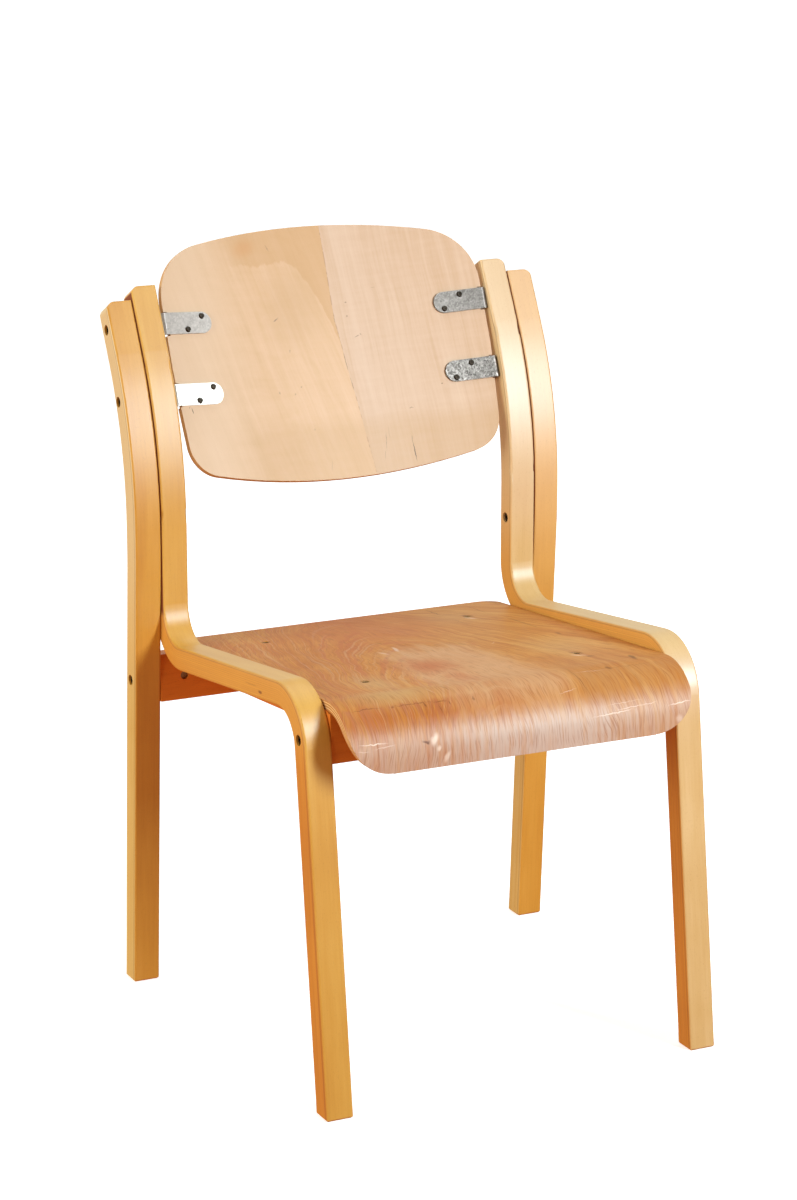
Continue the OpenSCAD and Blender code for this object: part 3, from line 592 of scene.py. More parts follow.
PANEL_CRACKS = [
    (89.0, -144.0, 1.3, 27.0, 2.0, 0.95),
    (88.0, -129.0, 0.9, 12.0, -6.0, 0.6),
    (56.0, -128.0, 0.9, 30.0, -7.0, 0.45),
    (52.0, -144.0, 0.9, 14.0, -10.0, 0.35),
    (61.0, -118.0, 0.7, 18.0, -3.0, 0.3),
    (22.5, -30.0, 1.1, 30.0, 6.0, 0.55),
    (25.5, -55.0, 1.0, 24.0, 8.0, 0.4),
    (17.5, 22.0, 0.9, 14.0, 0.0, 0.4),
    (-185.0, -74.0, 1.3, 9.0, 8.0, 0.9),
    (-188.0, -70.0, 0.9, 5.0, -30.0, 0.5),
    (-200.0, -62.0, 1.6, 20.0, 3.0, 0.7),
    (-17.0, -150.0, 0.9, 16.0, -8.0, 0.25),
]


def panel_places(finish):
    """Side, rise and depth of a point of the back, in millimetres."""
    x, y, z = finish.place()
    way, out = heading(PANEL_LEAN)
    side = x * MM
    from_y = y - PANEL_MIDDLE.x
    from_z = z - PANEL_MIDDLE.y
    rise = (from_y * way.x + from_z * way.y) * MM
    sink = (from_y * -out.x - from_z * out.y) * MM + PANEL_HOLLOW
    depth = (side * side + sink * sink).root() - PANEL_HOLLOW
    return side, rise, depth


def panel_veneer():
    finish = Finish("panel_veneer", coat_roughness=0.4, specular=0.4)
    side, rise, depth = panel_places(finish)
    face_point = finish.vector(side, rise, 0.0)
    back = depth > PANEL_THICKNESS / 2
    wander = finish.grain(side, rise, 90.0, 130.0, back * 7.0 + 3.0) - 0.5
    below = (SEAM_BEND - rise).or_more(0.0)
    off_seam = side - SEAM_SIDE - below * SEAM_SLANT + wander * 3.0
    right = off_seam.smooth(-SEAM_BLUR, SEAM_BLUR) * (1.0 - back)
    # The left leaf is cut near the heart, so that its grain arches over towards the seam
    over = (side - ARCH_SIDE).or_more(0.0)
    jag = finish.grain(side, rise, 8.0, 16.0, 11.0) - 0.5
    arch = rise + over * over * ARCH_SPREAD + wander * 22.0 + jag * 14.0
    lean = side + rise * (0.25 - right * 0.19) + wander * 10.0
    rings = finish.grain(arch, lean, 16.0, 60.0, 2.0, detail=3.0, rough=0.6)
    bands = finish.grain(lean, rise, 17.0, 300.0, right * 9.0 + back * 4.0, detail=3.0, rough=0.55)
    streaks = finish.grain(lean, rise, 3.6, 110.0, 2.0, detail=3.0, rough=0.6)
    fibres = finish.grain(lean, rise, 1 / 1.2, 22.0, 5.0)
    ripple = finish.grain(side, rise, 40.0, 7.0, 8.0)
    pores = finish.grain(lean, rise, 1 / 1.7, 3.2, 6.0, detail=1.0).smooth(0.68, 0.78)
    left_tone = rings * 0.2 + bands * 0.5 + streaks * 0.2 + ripple * 0.1
    left_wood = finish.ramp(left_tone, stops(LEFT_LEAF))
    above = arch.smooth(ARCH_RISE - 2.0, ARCH_RISE + 1.5) * (side + rise * 0.7).smooth(-62.0, -4.0)
    heart = above * 0.42 + arch.smooth(ARCH_RISE - 90.0, ARCH_RISE) * 0.1
    left_wood = finish.blend(heart, left_wood, colour(*HEARTWOOD))
    left_wood = finish.blend((1.0 - side.smooth(*PALE_SIDES)) * 0.55, left_wood, colour(*PALE_SIDE))
    left_wood = finish.blend(finish.spot(face_point, *WARM_PATCH, 0.9) * 0.35, left_wood, colour(*WARM_WOOD))
    right_tone = bands * 0.5 + streaks * 0.34 + ripple * 0.16
    base = finish.blend(right, left_wood, finish.ramp(right_tone, stops(RIGHT_LEAF)))
    # Yellower stretches along the lower edge and left of the seam
    foot = (wander * 20.0 - rise).smooth(*FOOT_DROPS) * side.smooth(*FOOT_SIDES)
    belly = finish.spot(face_point, *BELLY_PATCH, 0.9) * (1.0 - right)
    base = finish.blend(foot.or_more(belly) * 0.4, base, colour(*YELLOW_STRETCH))
    seam = (1.0 - abs(off_seam).smooth(0.2, 1.1)) * (1.0 - back)
    base = finish.blend(seam * ripple.smooth(0.42, 0.62) * 0.42, base, colour(*SEAM_LINE))
    base = finish.blend(fibres.smooth(0.6, 0.8) * 0.16, base, colour(*PANEL_FIBRE))
    base = finish.blend(pores * 0.16, base, colour(*PANEL_PORE))
    # Pin knots, scuffs and the short cracks near the lower edge
    warp = finish.noise(side / 3.0, rise / 3.0, 1.0) - 0.5
    fleck_point = finish.vector(side + warp * 2.2, rise + warp * 3.0, 0.0)
    flecks = finish.spots(fleck_point, PANEL_FLECKS, 0.8) * (1.0 - back)
    base = finish.blend(flecks, base, colour(*PANEL_FLECK))
    crack_point = finish.vector(side + warp * 1.6, rise, 0.0)
    cracks = finish.spots(crack_point, PANEL_CRACKS, 0.6) * (1.0 - back)
    base = finish.blend(cracks, base, colour(*PANEL_CRACK))
    edge, inside = ply_edge(finish, depth, PANEL_THICKNESS, side + rise)
    finish.feed("Base Color", finish.blend(inside, base, edge))
    finish.feed("Coat Weight", 0.3 - inside * 0.25)
    finish.feed("Roughness", 0.42 + streaks * 0.1 + inside * 0.2)
    finish.feed("Normal", finish.bump(fibres * 0.4 + streaks * 0.5, 0.12, 0.0005))
    return finish.material


# Worn veneer of the seat, in millimetres to the right of the middle and forward along its face
# from where the flat turns into the roll

SEAT_FALL = 4.75
SEAT_HEIGHT = 0.4415
SEAT_CROWN_OFFSET = 0.0055
SEAT_ROLL = 58.0
SEAT_THICKNESS = 10.0
SEAT_BACK_REACH = -406.0
SEAT_HALF = 205.0
SEAT_WOOD = [
    (0.16, 182, 100, 34), (0.38, 198, 122, 48), (0.55, 208, 139, 62), (0.72, 216, 154, 80),
    (0.9, 222, 168, 98),
]
SEAT_TAN = [(0.2, 192, 128, 64), (0.5, 204, 147, 82), (0.8, 213, 163, 101)]
SEAT_LIGHT = (208, 164, 108)
SEAT_PALE = (214, 166, 122)
# Pale pinkish grey of the worn roll, partly a painted highlight
SEAT_WORN_SHEEN = (204, 182, 170)
SEAT_RED = (194, 106, 52)
SEAT_BROWN = (190, 126, 68)
SEAT_DARK = (96, 50, 26)
SEAT_CHECK = (156, 90, 46)
SEAT_FIBRE = (150, 84, 42)
SEAT_SCRATCH = (244, 226, 212)
# The heart of the arched grain, and the sides between which it gives way to the plainer right half
HEART_SIDE = -20.0
HEART_SPREAD = 50.0
LEFT_SIDES = (-30.0, 70.0)
# The redder wood at the middle of the rear
REAR_SIDE = -10.0
REAR_DROPS = (190.0, 330.0)
REAR_HALVES = (30.0, 130.0)
# The seam of the browner leaf: its side at one reach, and its slant
LEAF_SIDE = 66.0
LEAF_REACH = -80.0
LEAF_SLANT = 0.105
LEAF_REACHES = (-120.0, -20.0)
# The worn stretch in front of the middle: where it ends at the rear, and half its width at the turn
WORN_SIDE = -5.0
WORN_REACHES = (-222.0, -170.0)
WORN_HALF = 78.0
WORN_SPREAD = 0.1
# Reaches between which the roll's band comes and goes, and where its right part sets back by a step
BAND_STARTS = (26.0, 33.0)
BAND_ENDS = (46.0, 74.0)
BAND_STEP = 78.0
BAND_SETBACK = 13.0
# The darker band at the start of the roll, by its side: its strength, then its colour
BAND_STRENGTH = [
    (-205, 0.75), (-84, 0.85), (-74, 0.35), (-8, 0.5), (14, 0.15), (74, 0.15), (80, 0.75), (205, 0.6),
]
BAND_COLOUR = [
    (-205, 196, 126, 84), (-90, 182, 106, 64), (-20, 196, 126, 80), (76, 198, 142, 82),
    (205, 190, 132, 78),
]
# The worn front of the roll, pale partly from wear and partly as a painted highlight, and its fine checks,
# both changing away from the middle
ROLL_DARKENS = (-40.0, 40.0)
FRONT_REACHES = (46.0, 84.0)
CHECK_REACHES = (8.0, 40.0)
OUTWARD_MIDDLE = 10.0
OUTWARD_HALVES = (40.0, 150.0)
# Side, reach, width, length, turn and strength of each mark
SEAT_LIGHTS = [
    (-124.0, -46.0, 80.0, 150.0, 0.0, 0.75),
    (112.0, -335.0, 120.0, 130.0, 0.0, 0.4),
    (128.0, -110.0, 110.0, 170.0, 0.0, 0.6),
    (-130.0, 8.0, 180.0, 80.0, 0.0, 0.95),
]
SEAT_STAINS = [
    (-37.0, -98.0, 84.0, 120.0, 8.0, 0.8),
    (-33.0, -34.0, 44.0, 110.0, 6.0, 0.5),
    (-8.0, -366.0, 13.0, 40.0, 6.0, 0.7),
    (-16.0, -330.0, 22.0, 90.0, 10.0, 0.35),
    (-60.0, -345.0, 90.0, 60.0, 0.0, 0.2),
    (-186.0, -18.0, 34.0, 90.0, 10.0, 0.35),
    (-10.0, -280.0, 50.0, 60.0, 10.0, 0.25),
    (190.0, -210.0, 24.0, 240.0, 0.0, 0.35),
    (60.0, -180.0, 14.0, 40.0, 20.0, 0.3),
]
SEAT_CRACKS = [
    (168.0, -9.0, 9.0, 34.0, 14.0, 0.62),
    (133.0, -41.0, 11.0, 10.0, 20.0, 0.5),
    (123.0, 16.0, 12.0, 7.0, 30.0, 0.5),
    (167.0, -176.0, 7.0, 24.0, 0.0, 0.42),
    (172.0, -62.0, 1.6, 44.0, -52.0, 0.45),
    (158.0, -40.0, 1.4, 24.0, -30.0, 0.4),
    (-79.0, 37.0, 2.0, 8.0, 0.0, 0.75),
    (-107.0, 35.0, 3.0, 9.0, 0.0, 0.6),
    (-50.0, 36.0, 3.0, 9.0, 10.0, 0.5),
    (-92.0, 43.0, 1.6, 16.0, 0.0, 0.5),
    (-118.0, 77.5, 11.0, 5.0, 0.0, 0.8),
    (-143.0, 33.0, 7.0, 3.5, 0.0, 0.45),
    (107.0, -372.0, 1.8, 70.0, 0.0, 0.6),
    (107.0, -300.0, 1.4, 80.0, 1.0, 0.25),
    (80.0, 25.0, 1.4, 70.0, -8.0, 0.5),
    (-26.0, -243.0, 3.0, 16.0, -20.0, 0.4),
    (-55.0, -165.0, 10.0, 3.0, 20.0, 0.35),
    (49.0, -184.0, 3.0, 18.0, -20.0, 0.45),
    (158.0, -360.0, 3.0, 90.0, 0.0, 0.25),
    (164.0, -260.0, 5.0, 120.0, 0.0, 0.3),
    (-72.0, 8.0, 2.0, 22.0, -12.0, 0.35),
    (-174.0, 31.0, 44.0, 2.0, 0.0, 0.5),
    (-120.0, 32.0, 62.0, 1.8, 0.0, 0.5),
    (-88.0, 34.0, 22.0, 2.0, 0.0, 0.6),
    # Dark rings round the four seat screws
    (-129.0, -65.0, 13.0, 18.0, -30.0, 0.4),
    (-129.0, -329.0, 12.0, 16.0, -25.0, 0.3),
    (129.0, -66.0, 13.0, 22.0, -35.0, 0.6),
    (131.0, -331.0, 12.0, 24.0, -32.0, 0.6),
    (140.0, 17.0, 116.0, 1.4, 0.0, 0.25),
]
SEAT_SCRATCHES = [
    (-178.0, 72.5, 42.0, 1.8, 3.0, 0.9),
    (-166.0, 77.0, 34.0, 1.2, -4.0, 0.6),
    (-190.0, 79.0, 20.0, 1.2, 8.0, 0.5),
    (105.0, 76.0, 66.0, 1.7, -3.0, 0.85),
    (128.0, 72.0, 46.0, 1.3, -4.0, 0.6),
    (150.0, 71.0, 30.0, 1.2, -6.0, 0.5),
    (188.0, 75.0, 36.0, 1.7, -5.0, 0.85),
    (120.0, 66.0, 60.0, 1.0, -2.0, 0.35),
    (60.0, 44.0, 30.0, 1.1, -12.0, 0.5),
    (-108.0, 76.0, 11.0, 19.0, 32.0, 0.95),
    (-104.0, 86.0, 6.0, 9.0, 30.0, 0.8),
    (-95.0, 96.0, 8.0, 18.0, 28.0, 0.75),
    (-26.0, -202.0, 7.0, 38.0, 12.0, 0.6),
    (-47.0, -190.0, 7.0, 28.0, -14.0, 0.4),
    (127.0, -317.0, 3.6, 26.0, -32.0, 0.95),
    (123.0, -53.0, 3.6, 22.0, -34.0, 0.95),
    (130.0, -50.0, 2.6, 14.0, -34.0, 0.7),
    (186.0, 92.0, 12.0, 12.0, 30.0, 0.5),
    (100.0, 18.0, 50.0, 1.1, 4.0, 0.35),
    (80.0, -170.0, 2.0, 18.0, 40.0, 0.3),
    (-90.0, 12.0, 1.4, 20.0, -20.0, 0.3),
]


def seat_share(side):
    """How far a place is from the seat's left edge to its right edge, from 0 to 1."""
    return (side + SEAT_HALF) / (SEAT_HALF * 2)


def seat_turn():
    """Where the flat turns into the roll, as (Y, Z)."""
    fall = math.radians(SEAT_FALL)
    roll = SEAT_ROLL / MM
    corner = FRONT + CORNER_HEIGHT * math.tan(math.radians(FRONT_LEG_LEAN))
    return corner + SEAT_CROWN_OFFSET + roll * math.sin(fall), SEAT_HEIGHT - roll * (1 - math.cos(fall))


def seat_places(finish):
    """Side, reach and depth of a point of the seat, in millimetres."""
    x, y, z = finish.place()
    fall = math.radians(SEAT_FALL)
    turn_y, turn_z = seat_turn()
    from_y = (y - turn_y) * MM
    from_z = (z - turn_z) * MM
    back = from_y * math.cos(fall) - from_z * math.sin(fall)
    lift = from_y * math.sin(fall) + from_z * math.cos(fall)
    rolled = back < 0.0
    arm = lift + SEAT_ROLL
    flat_reach = -back
    roll_reach = (-back).angle_from(arm) * SEAT_ROLL
    reach = flat_reach + (roll_reach - flat_reach) * rolled
    roll_depth = SEAT_ROLL - (back * back + arm * arm).root()
    depth = -lift + (roll_depth + lift) * rolled
    return x * MM, reach, depth


class SeatFace:
    """A point of the seat, and the noises that its grain and its marks share."""

    def __init__(self, finish):
        self.finish = finish
        self.side, self.reach, self.depth = seat_places(finish)
        self.under = self.depth > SEAT_THICKNESS / 2
        self.top = 1.0 - self.under
        self.wander = finish.grain(self.side, self.reach, 70.0, 110.0, self.under * 9.0 + 3.0) - 0.5
        self.sway = finish.grain(self.side, self.reach, 11.0, 34.0, 6.0) - 0.5
        self.warp = finish.grain(self.side, self.reach, 6.0, 11.0, 1.0, detail=3.0) - 0.5
        self.cloud = finish.grain(self.side, self.reach, 55.0, 70.0, 12.0, detail=3.0)
        self.ragged = self.reach + self.sway * 8.0 + self.warp * 8.0
        self.front = self.ragged.smooth(*FRONT_REACHES)
        self.outward = abs(self.side - OUTWARD_MIDDLE).smooth(*OUTWARD_HALVES)

    def warped(self, across, along):
        """The point, pushed about a little so that the marks get ragged edges."""
        side = self.side + self.warp * across
        return self.finish.vector(side, self.reach + self.warp * along, 0.0)


def seat_figure(finish, face):
    """The veneer's own figure: its colour, and the grain that fans out to the front."""
    side, reach = face.side, face.reach
    # The grain rises towards the back in an arch, left of the middle
    aside = side - HEART_SIDE + face.wander * 34.0
    apex = reach - aside * aside / HEART_SPREAD
    fan = aside / ((reach - SEAT_BACK_REACH + 60.0) / 300.0).root()
    rings = finish.noise(apex / 19.0 + face.sway * 0.8, aside / 120.0, 2.0, detail=3.0, rough=0.6)
    fans = finish.noise(fan / 8.0 + face.sway * 0.8, reach / 240.0, 4.0, detail=4.0, rough=0.62)
    fibres = finish.grain(fan, reach, 1 / 1.1, 26.0, 5.0)
    left = 1.0 - side.smooth(*LEFT_SIDES)
    grain = fans + (rings - fans) * left * 0.55
    base = finish.ramp(grain * 1.75 + face.cloud * 0.7 - 0.72, stops(SEAT_WOOD))
    base = finish.blend((1.0 - left) * 0.45, base, finish.ramp(grain * 2.0 - 0.5, stops(SEAT_TAN)))
    base = finish.blend(rings.smooth(0.52, 0.58) * left * 0.7, base, colour(*SEAT_RED))
    light_lines = finish.noise(apex / 9.0 + face.sway * 0.9, aside / 80.0, 9.0).smooth(0.54, 0.64)
    base = finish.blend(light_lines * left * 0.5, base, colour(*SEAT_PALE))
    # Redder wood at the middle of the rear, and the browner leaf right of its seam
    rear = (-reach).smooth(*REAR_DROPS) * (1.0 - abs(side - REAR_SIDE).smooth(*REAR_HALVES))
    base = finish.blend(rear * 0.5, base, colour(*SEAT_RED))
    leaf_edge = side - LEAF_SIDE - (reach - LEAF_REACH) * LEAF_SLANT
    leaf = leaf_edge.smooth(-1.5, 1.5) * reach.smooth(*LEAF_REACHES)
    leaf = leaf * (1.0 - leaf_edge.smooth(4.0, 60.0) * 0.6)
    base = finish.blend(leaf * 0.55, base, colour(*SEAT_BROWN))
    light_point = finish.vector(side + face.sway * 20.0, reach, 0.0)
    base = finish.blend(finish.spots(light_point, SEAT_LIGHTS, 1.0), base, colour(*SEAT_LIGHT))
    return base, fans, fibres


def seat_wear(finish, face, fans, base):
    """The worn, paler stretch in front of the middle, ragged at its rear end, and its red stains."""
    side, reach = face.side, face.reach
    fingers = finish.grain(side, reach, 10.0, 60.0, 3.0, detail=3.0) - 0.5
    worn_end = (reach + fingers * 90.0 + face.wander * 60.0).smooth(*WORN_REACHES)
    half = reach * WORN_SPREAD + WORN_HALF
    worn_side = abs(side - WORN_SIDE + face.sway * 26.0 + face.wander * 40.0) / half
    worn = worn_end * (1.0 - worn_side.smooth(0.6, 1.16))
    worn = worn * (1.0 - reach.smooth(30.0, 60.0) * 0.5)
    base = finish.blend(worn * (fans * 1.6 + face.cloud * 0.5 - 0.25), base, colour(*SEAT_PALE))
    stains = finish.spots(face.warped(24.0, 30.0), SEAT_STAINS, 1.0)
    return finish.blend(stains, base, colour(*SEAT_RED))


def roll_wear(finish, face, base):
    """The roll: a darker band at its start, then lacquer worn to pale wood that is partly a painted
    highlight, with fine dark checks.
    """
    side, reach = face.side, face.reach
    across = side / (SEAT_HALF * 2.0) + 0.5
    band = (face.ragged + (side > BAND_STEP) * BAND_SETBACK).smooth(*BAND_STARTS)
    band = band * (1.0 - face.ragged.smooth(*BAND_ENDS))
    strength = [(seat_share(at), (value, value, value, 1.0)) for at, value in BAND_STRENGTH]
    band = band * finish.ramp(across, strength)
    band_wood = finish.ramp(across, [(seat_share(at), colour(*shade)) for at, *shade in BAND_COLOUR])
    stripes = finish.grain(side, reach, 5.0, 70.0, 15.0, detail=3.0, rough=0.6).smooth(0.36, 0.6)
    base = finish.blend(band * (stripes * 0.8 + 0.2), base, band_wood)
    base = finish.blend(reach.smooth(*ROLL_DARKENS) * 0.13, base, colour(*SEAT_DARK))
    # Pale worn wood on the front of the roll, partly a painted highlight
    worn_front_sheen = face.front * (stripes * 0.46 + face.cloud * 0.6 + 0.31) * (1.0 - face.outward * 0.36)
    base = finish.blend(worn_front_sheen, base, colour(*SEAT_WORN_SHEEN))
    checks = finish.grain(side, reach, 1.9, 50.0, 9.0).smooth(0.56, 0.72)
    checks = checks * reach.smooth(*CHECK_REACHES) * (face.outward * 0.36 + 0.16)
    return finish.blend(checks, base, colour(*SEAT_CHECK))


def seat_marks(finish, face, fibres, base):
    """Fibres, then the cracks and the pale scratches of the upper face."""
    base = finish.blend(fibres.smooth(0.5, 0.68) * 0.42, base, colour(*SEAT_FIBRE))
    cracks = finish.spots(face.warped(5.0, 7.0), SEAT_CRACKS, 0.8) * face.top
    base = finish.blend(cracks, base, colour(*SEAT_DARK))
    scratches = finish.spots(face.warped(3.0, 4.0), SEAT_SCRATCHES, 0.8) * face.top
    return finish.blend(scratches * (fibres * 0.9 + 0.4), base, colour(*SEAT_SCRATCH))


def seat_veneer():
    finish = Finish("seat_veneer", coat_roughness=0.35, specular=0.18)
    face = SeatFace(finish)
    base, fans, fibres = seat_figure(finish, face)
    base = seat_wear(finish, face, fans, base)
    base = roll_wear(finish, face, base)
    base = seat_marks(finish, face, fibres, base)
    edge, inside = ply_edge(finish, face.depth, SEAT_THICKNESS, face.side + face.reach)
    finish.feed("Base Color", finish.blend(inside, base, edge))
    finish.feed("Coat Weight", face.front * 0.2 + 0.08 - inside * 0.06)
    finish.feed("Roughness", 0.46 + fans * 0.14 + inside * 0.2)
    finish.feed("Normal", finish.bump(fibres * 0.5 + fans * 0.5, 0.22, 0.0006))
    return finish.material


# Solid wood of the rails, bearers and dowels

RAIL_DARK = (210, 118, 40)
RAIL_LIGHT = (236, 146, 60)
RAIL_PORE = (110, 56, 22)
DOWEL_DARK = (196, 158, 108)
DOWEL_LIGHT = (224, 190, 142)


def rail_wood(name, dark, light, seed, lengthwise):
    """Solid wood whose grain runs along the chair's X or Y."""
    finish = Finish(name, coat=0.08, coat_roughness=0.35, specular=0.3)
    x, y, z = finish.place()
    along, across = (x, y) if lengthwise == "x" else (y, x)
    figure = finish.noise(along * 4.0, across * 60.0, z * 60.0 + seed, detail=3.0, rough=0.55)
    fibres = finish.noise(along * 60.0, across * 1400.0, z * 1400.0)
    pores = finish.noise(along * 240.0, across * 1600.0, z * 1600.0, detail=1.0).smooth(0.66, 0.76)
    tone = figure * 0.7 + fibres * 0.3
    base = finish.ramp(tone, [(0.3, colour(*dark)), (0.7, colour(*light))])
    finish.feed("Base Color", finish.blend(pores * 0.3, base, colour(*RAIL_PORE)))
    finish.feed("Roughness", 0.44 + figure * 0.1)
    finish.feed("Normal", finish.bump(fibres, 0.15, 0.0005))
    return finish.material


# Metal: the darkest and the lightest colour of each

BOLT_STEEL = ((40, 34, 30), (86, 76, 68))
SCREW_STEEL = ((34, 30, 27), (84, 76, 68))
# Seat screws: dark steel, made darker and without reflection as painted shade of the recesses they sit in
SHADED_SCREW_STEEL = ((24, 14, 8), (48, 30, 18))
NUT_ZINC = ((110, 106, 102), (170, 166, 160))
INSERT_BRASS = ((140, 104, 48), (196, 156, 84))
BOLT_PATCH = 0.002
SCREW_PATCH = 0.0012


def plated_metal(name, tones, roughness, patch, shine=1.0, specular=0.5):
    """Plated metal that has dulled in patches of about that size."""
    finish = Finish(name, metallic=shine, specular=specular)
    x, y, z = finish.place()
    patches = finish.noise(x / patch, y / patch, z / patch, detail=3.0, rough=0.65)
    fine = finish.noise(x / patch * 6.0, y / patch * 6.0, z / patch * 6.0)
    tone = patches * 0.7 + fine * 0.3
    dark, light = tones
    finish.feed("Base Color", finish.ramp(tone, [(0.3, colour(*dark)), (0.7, colour(*light))]))
    finish.feed("Roughness", roughness + (patches - 0.5) * 0.25)
    finish.feed("Normal", finish.bump(tone, 0.2, 0.0002))
    return finish.material


# Darkest and lightest zinc, shine and mottle of each bracket, and how green and blue lag behind red; each
# bracket's lightness is partly painted light, set to how it catches the light, and the lower left one is
# painted pale as a painted glare
BRACKET_ZINC_AND_GLARE = {
    "upper_left": (148, 194, 0.35, 0.4),
    "lower_left": (205, 240, 0.9, 0.2),
    "upper_right": (100, 158, 0.75, 0.45),
    "lower_right": (80, 162, 0.85, 0.7),
}
DARK_LAG = (4, 7)
LIGHT_LAG = (5, 8)


def warm_grey(level, lag):
    return colour(level, level - lag[0], level - lag[1])


def bracket_zinc(name, darkest, lightest, shine, mottle):
    """Zinc coat of a bracket: crystal grains, duller patches and fine wear."""
    finish = Finish(name)
    x, y, z = finish.place()
    blur = finish.noise(x * 900.0, y * 900.0, z * 900.0) - 0.5
    grain = finish.cells(x * 520.0 + blur, y * 520.0 + blur, z * 520.0 + blur)
    small = finish.noise(x * 1500.0, y * 1500.0, z * 1500.0)
    patches = finish.noise(x * 150.0, y * 150.0, z * 150.0, detail=3.0, rough=0.6)
    tone = (grain - 0.5) * mottle + (small - 0.5) * mottle * 0.8 + (patches - 0.5) * 0.5 + 0.5
    dark, light = warm_grey(darkest, DARK_LAG), warm_grey(lightest, LIGHT_LAG)
    finish.feed("Base Color", finish.ramp(tone, [(0.2, dark), (0.8, light)]))
    finish.feed("Metallic", shine + (patches - 0.5) * 0.3)
    finish.feed("Roughness", 0.4 - (tone - 0.5) * 0.2)
    finish.feed("Normal", finish.bump(tone, 0.3, 0.0002))
    return finish.material


# Every node of the frame in its finish

SIDES = ("left", "right")
# The right frame's faces are paler than the left's: a painted sheen for the key light's reflection
FRAME_FACE = {"left": FACE_AMBER, "right": FACE_PALE_SHEEN}
# Heights where the cut edges begin and end to be rubbed pale, partly a painted sheen, and where the right
# side's faces get a painted sheen for the key light's highlight
FRAME_RUBBED_SHEEN = (0.42, 0.64)
LEG_RUBBED_SHEEN = (0.30, 0.60)
FRAME_SHEEN = {"left": None, "right": (0.47, 0.55)}
LEG_SHEEN = {"left": None, "right": (0.34, 0.66)}
# A pin knot on the left rail's side and the streak before it: place from back to front, height,
# length, thickness, turn and strength, in millimetres
KNOTS = {
    "left": [(-123.9, 430.5, 13.0, 4.0, -8.0, 0.8), (-100.0, 433.0, 40.0, 1.6, -7.0, 0.35)],
    "right": [],
}


def dress(node, material):
    """Gives a node of the frame its finish."""
    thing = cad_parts[node]
    thing.data.materials.clear()
    thing.data.materials.append(material)


def dress_wood():
    frame_path, leg_path = side_frame_path(), rear_leg_path()
    for number, side in enumerate(SIDES):
        shift = 40.0 * number
        wood = bent_wood(
            side + "_frame_wood", frame_path, 17.0 + shift, FRAME_FACE[side], CUT_EDGE,
            FRAME_RUBBED_SHEEN, FRAME_SHEEN[side], KNOTS[side],
        )
        dress(side + "_side_frame", wood)
        wood = bent_wood(
            side + "_leg_wood", leg_path, 133.0 + shift, FACE_GOLD, CUT_PALE,
            LEG_RUBBED_SHEEN, LEG_SHEEN[side], [],
        )
        dress(side + "_rear_leg", wood)
        bearer = rail_wood(side + "_bearer_wood", RAIL_DARK, RAIL_LIGHT, 9.0 + number, "y")
        dress(side + "_bearer", bearer)
    dress("back_panel", panel_veneer())
    dress("seat_panel", seat_veneer())
    dress("front_rail", rail_wood("front_rail_wood", RAIL_DARK, RAIL_LIGHT, 1.0, "x"))
    dress("rear_rail", rail_wood("rear_rail_wood", RAIL_DARK, RAIL_LIGHT, 5.0, "x"))
    dress("rail_dowels", rail_wood("rail_dowel_wood", DOWEL_DARK, DOWEL_LIGHT, 2.0, "x"))
    dress("bearer_dowels", rail_wood("bearer_dowel_wood", DOWEL_DARK, DOWEL_LIGHT, 3.0, "y"))


def dress_metal():
    for place, values in BRACKET_ZINC_AND_GLARE.items():
        dress(place + "_bracket", bracket_zinc(place + "_zinc", *values))
    for name in ("bracket_bolts", "rail_bolts", "joint_bolts"):
        dress(name, plated_metal(name + "_steel", BOLT_STEEL, 0.4, BOLT_PATCH))
    for name in ("bracket_nuts", "barrel_nuts"):
        dress(name, plated_metal(name + "_zinc", NUT_ZINC, 0.4, BOLT_PATCH))
    dress("threaded_inserts", plated_metal("insert_brass", INSERT_BRASS, 0.3, BOLT_PATCH))
    dress("bracket_screws", plated_metal("bracket_screw_steel", SCREW_STEEL, 0.45, SCREW_PATCH))
    # The seat screws get no reflection and a near-black tone: painted shade of their recesses
    screw_in_shade = plated_metal("seat_screw_shaded_steel", SHADED_SCREW_STEEL, 0.7, SCREW_PATCH, shine=0.1, specular=0.0)
    dress("seat_screws", screw_in_shade)


dress_wood()
dress_metal()


# Floor and light

FLOOR_SIZE = 120.0
PAPER_DARK = (232, 240, 250)
PAPER_LIGHT = (236, 244, 253)
GLOW_NEAR = (0.62, 0.64, 0.66, 1.0)
GLOW_FAR = (0.96, 0.98, 1.0, 1.0)
GLOW_DISTANCES = (0.9, 2.2)
LIGHT_TARGET = (0.0, 0.0, 0.45)
KEY_TINT = (0.92, 1.0, 1.0)
LEFT_TINT = (0.95, 0.86, 0.62)
WHITE = (1.0, 1.0, 1.0)
# What the air throws at the chair from above, from below and from the backdrop behind it
AIR_ABOVE = (0.14, 0.12, 0.10, 1.0)
AIR_BELOW = (0.58, 0.25, 0.11, 1.0)
AIR_BEHIND = (1.0, 0.98, 0.84, 1.0)
# How far a way through the air points up, or back for the sides, where each light comes in and ends
HORIZON = (-0.1, 0.1)
BACKDROP_FOOT = (-0.1, 0.02)
BACKDROP_TOP = (0.25, 0.6)
BACKDROP_SIDES = (0.3, 0.8)


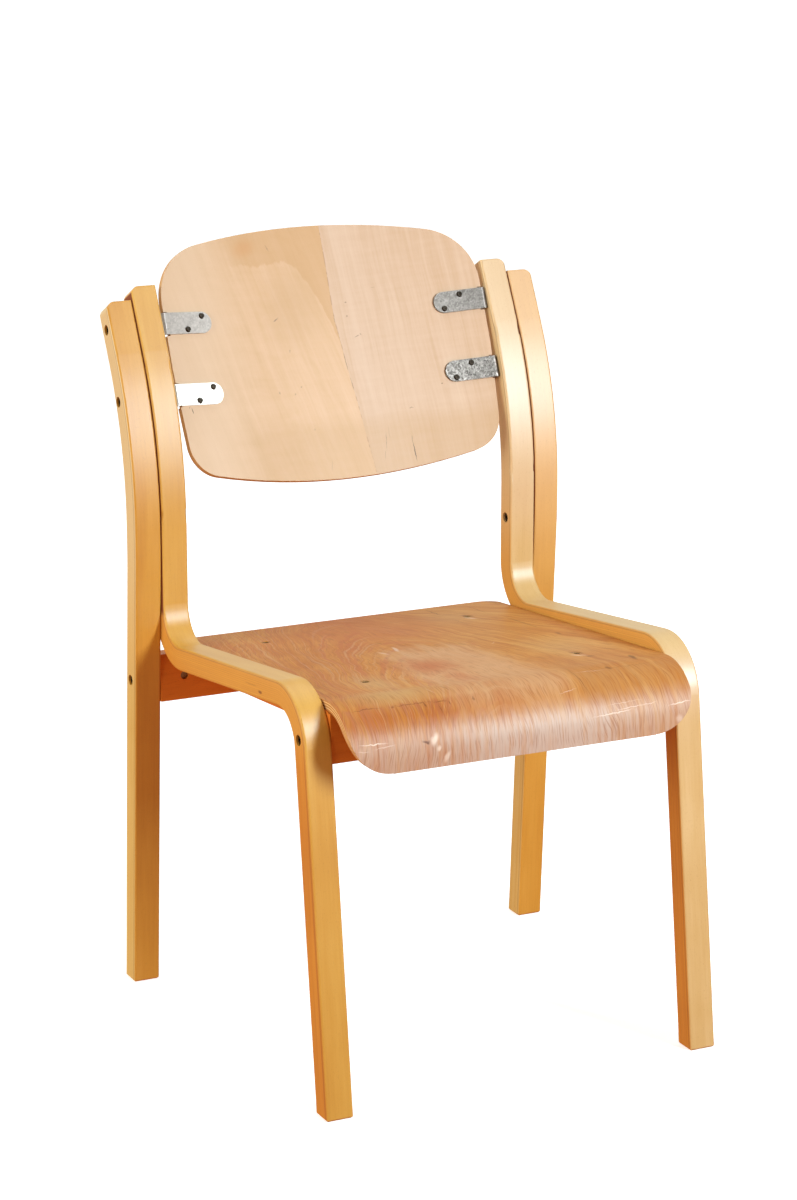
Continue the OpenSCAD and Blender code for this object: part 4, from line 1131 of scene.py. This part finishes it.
def add_floor():
    """Pale paper that runs on without an edge and glows white away from the chair."""
    mesh = bpy.data.meshes.new("studio_floor")
    half = FLOOR_SIZE / 2
    corners = [(-half, -half, 0.0), (half, -half, 0.0), (half, half, 0.0), (-half, half, 0.0)]
    mesh.from_pydata(corners, [], [(0, 1, 2, 3)])
    floor = bpy.data.objects.new("studio_floor", mesh)
    bpy.context.scene.collection.objects.link(floor)
    finish = Finish("floor_paper", roughness=0.9, specular=0.1)
    x, y, _ = finish.place()
    mottle = finish.noise(x * 3.0, y * 3.0, 0.0)
    paper = finish.ramp(mottle, [(0.3, colour(*PAPER_DARK)), (0.7, colour(*PAPER_LIGHT))])
    finish.feed("Base Color", paper)
    away = (x * x + y * y).root().smooth(*GLOW_DISTANCES)
    finish.feed("Emission Color", finish.ramp(away, [(0.0, GLOW_NEAR), (1.0, GLOW_FAR)]))
    finish.feed("Emission Strength", 1.0)
    mesh.materials.append(finish.material)
    # The glow is for the eye alone and throws no light up at the chair
    floor.visible_diffuse = False
    floor.visible_glossy = False


def add_light(name, azimuth, elevation, distance, width, height, power, tint):
    data = bpy.data.lights.new(name, "AREA")
    data.shape = "RECTANGLE"
    data.size = width
    data.size_y = height
    data.energy = power
    data.color = tint
    lamp = bpy.data.objects.new(name, data)
    bpy.context.scene.collection.objects.link(lamp)
    aim(lamp, LIGHT_TARGET, azimuth, elevation, distance)


def add_air():
    """The air round the chair: white to the camera, and its light from above, below and behind."""
    world = bpy.data.worlds.new("studio_air")
    world.use_nodes = True
    air = Nodes(world.node_tree)
    _, y, z = air.place("Generated")
    front = air.blend(z.smooth(*HORIZON), AIR_BELOW, AIR_ABOVE)
    rear = y.smooth(*BACKDROP_SIDES) * (1.0 - z.smooth(*BACKDROP_TOP))
    felt = air.blend(rear * z.smooth(*BACKDROP_FOOT), front, AIR_BEHIND)
    from_camera = air.node("ShaderNodeLightPath", {}, {}, output="Is Camera Ray")
    shown = air.blend(from_camera, felt, (*WHITE, 1.0))
    air.join(air.tree.nodes["Background"].inputs["Color"], shown)
    bpy.context.scene.world = world


add_floor()
# A tall narrow key at the front right, a warm softbox on the left and a high one behind
add_light(
    "key_strip", azimuth=29.0, elevation=25.0, distance=2.6, width=0.4, height=1.2, power=64.0,
    tint=KEY_TINT,
)
add_light(
    "left_softbox", azimuth=-85.0, elevation=17.0, distance=4.0, width=3.0, height=2.4, power=118.0,
    tint=LEFT_TINT,
)
add_light(
    "rear_softbox", azimuth=165.0, elevation=66.0, distance=2.8, width=3.2, height=3.2, power=36.0,
    tint=WHITE,
)
add_air()
bpy.context.scene.view_settings.view_transform = "Standard"
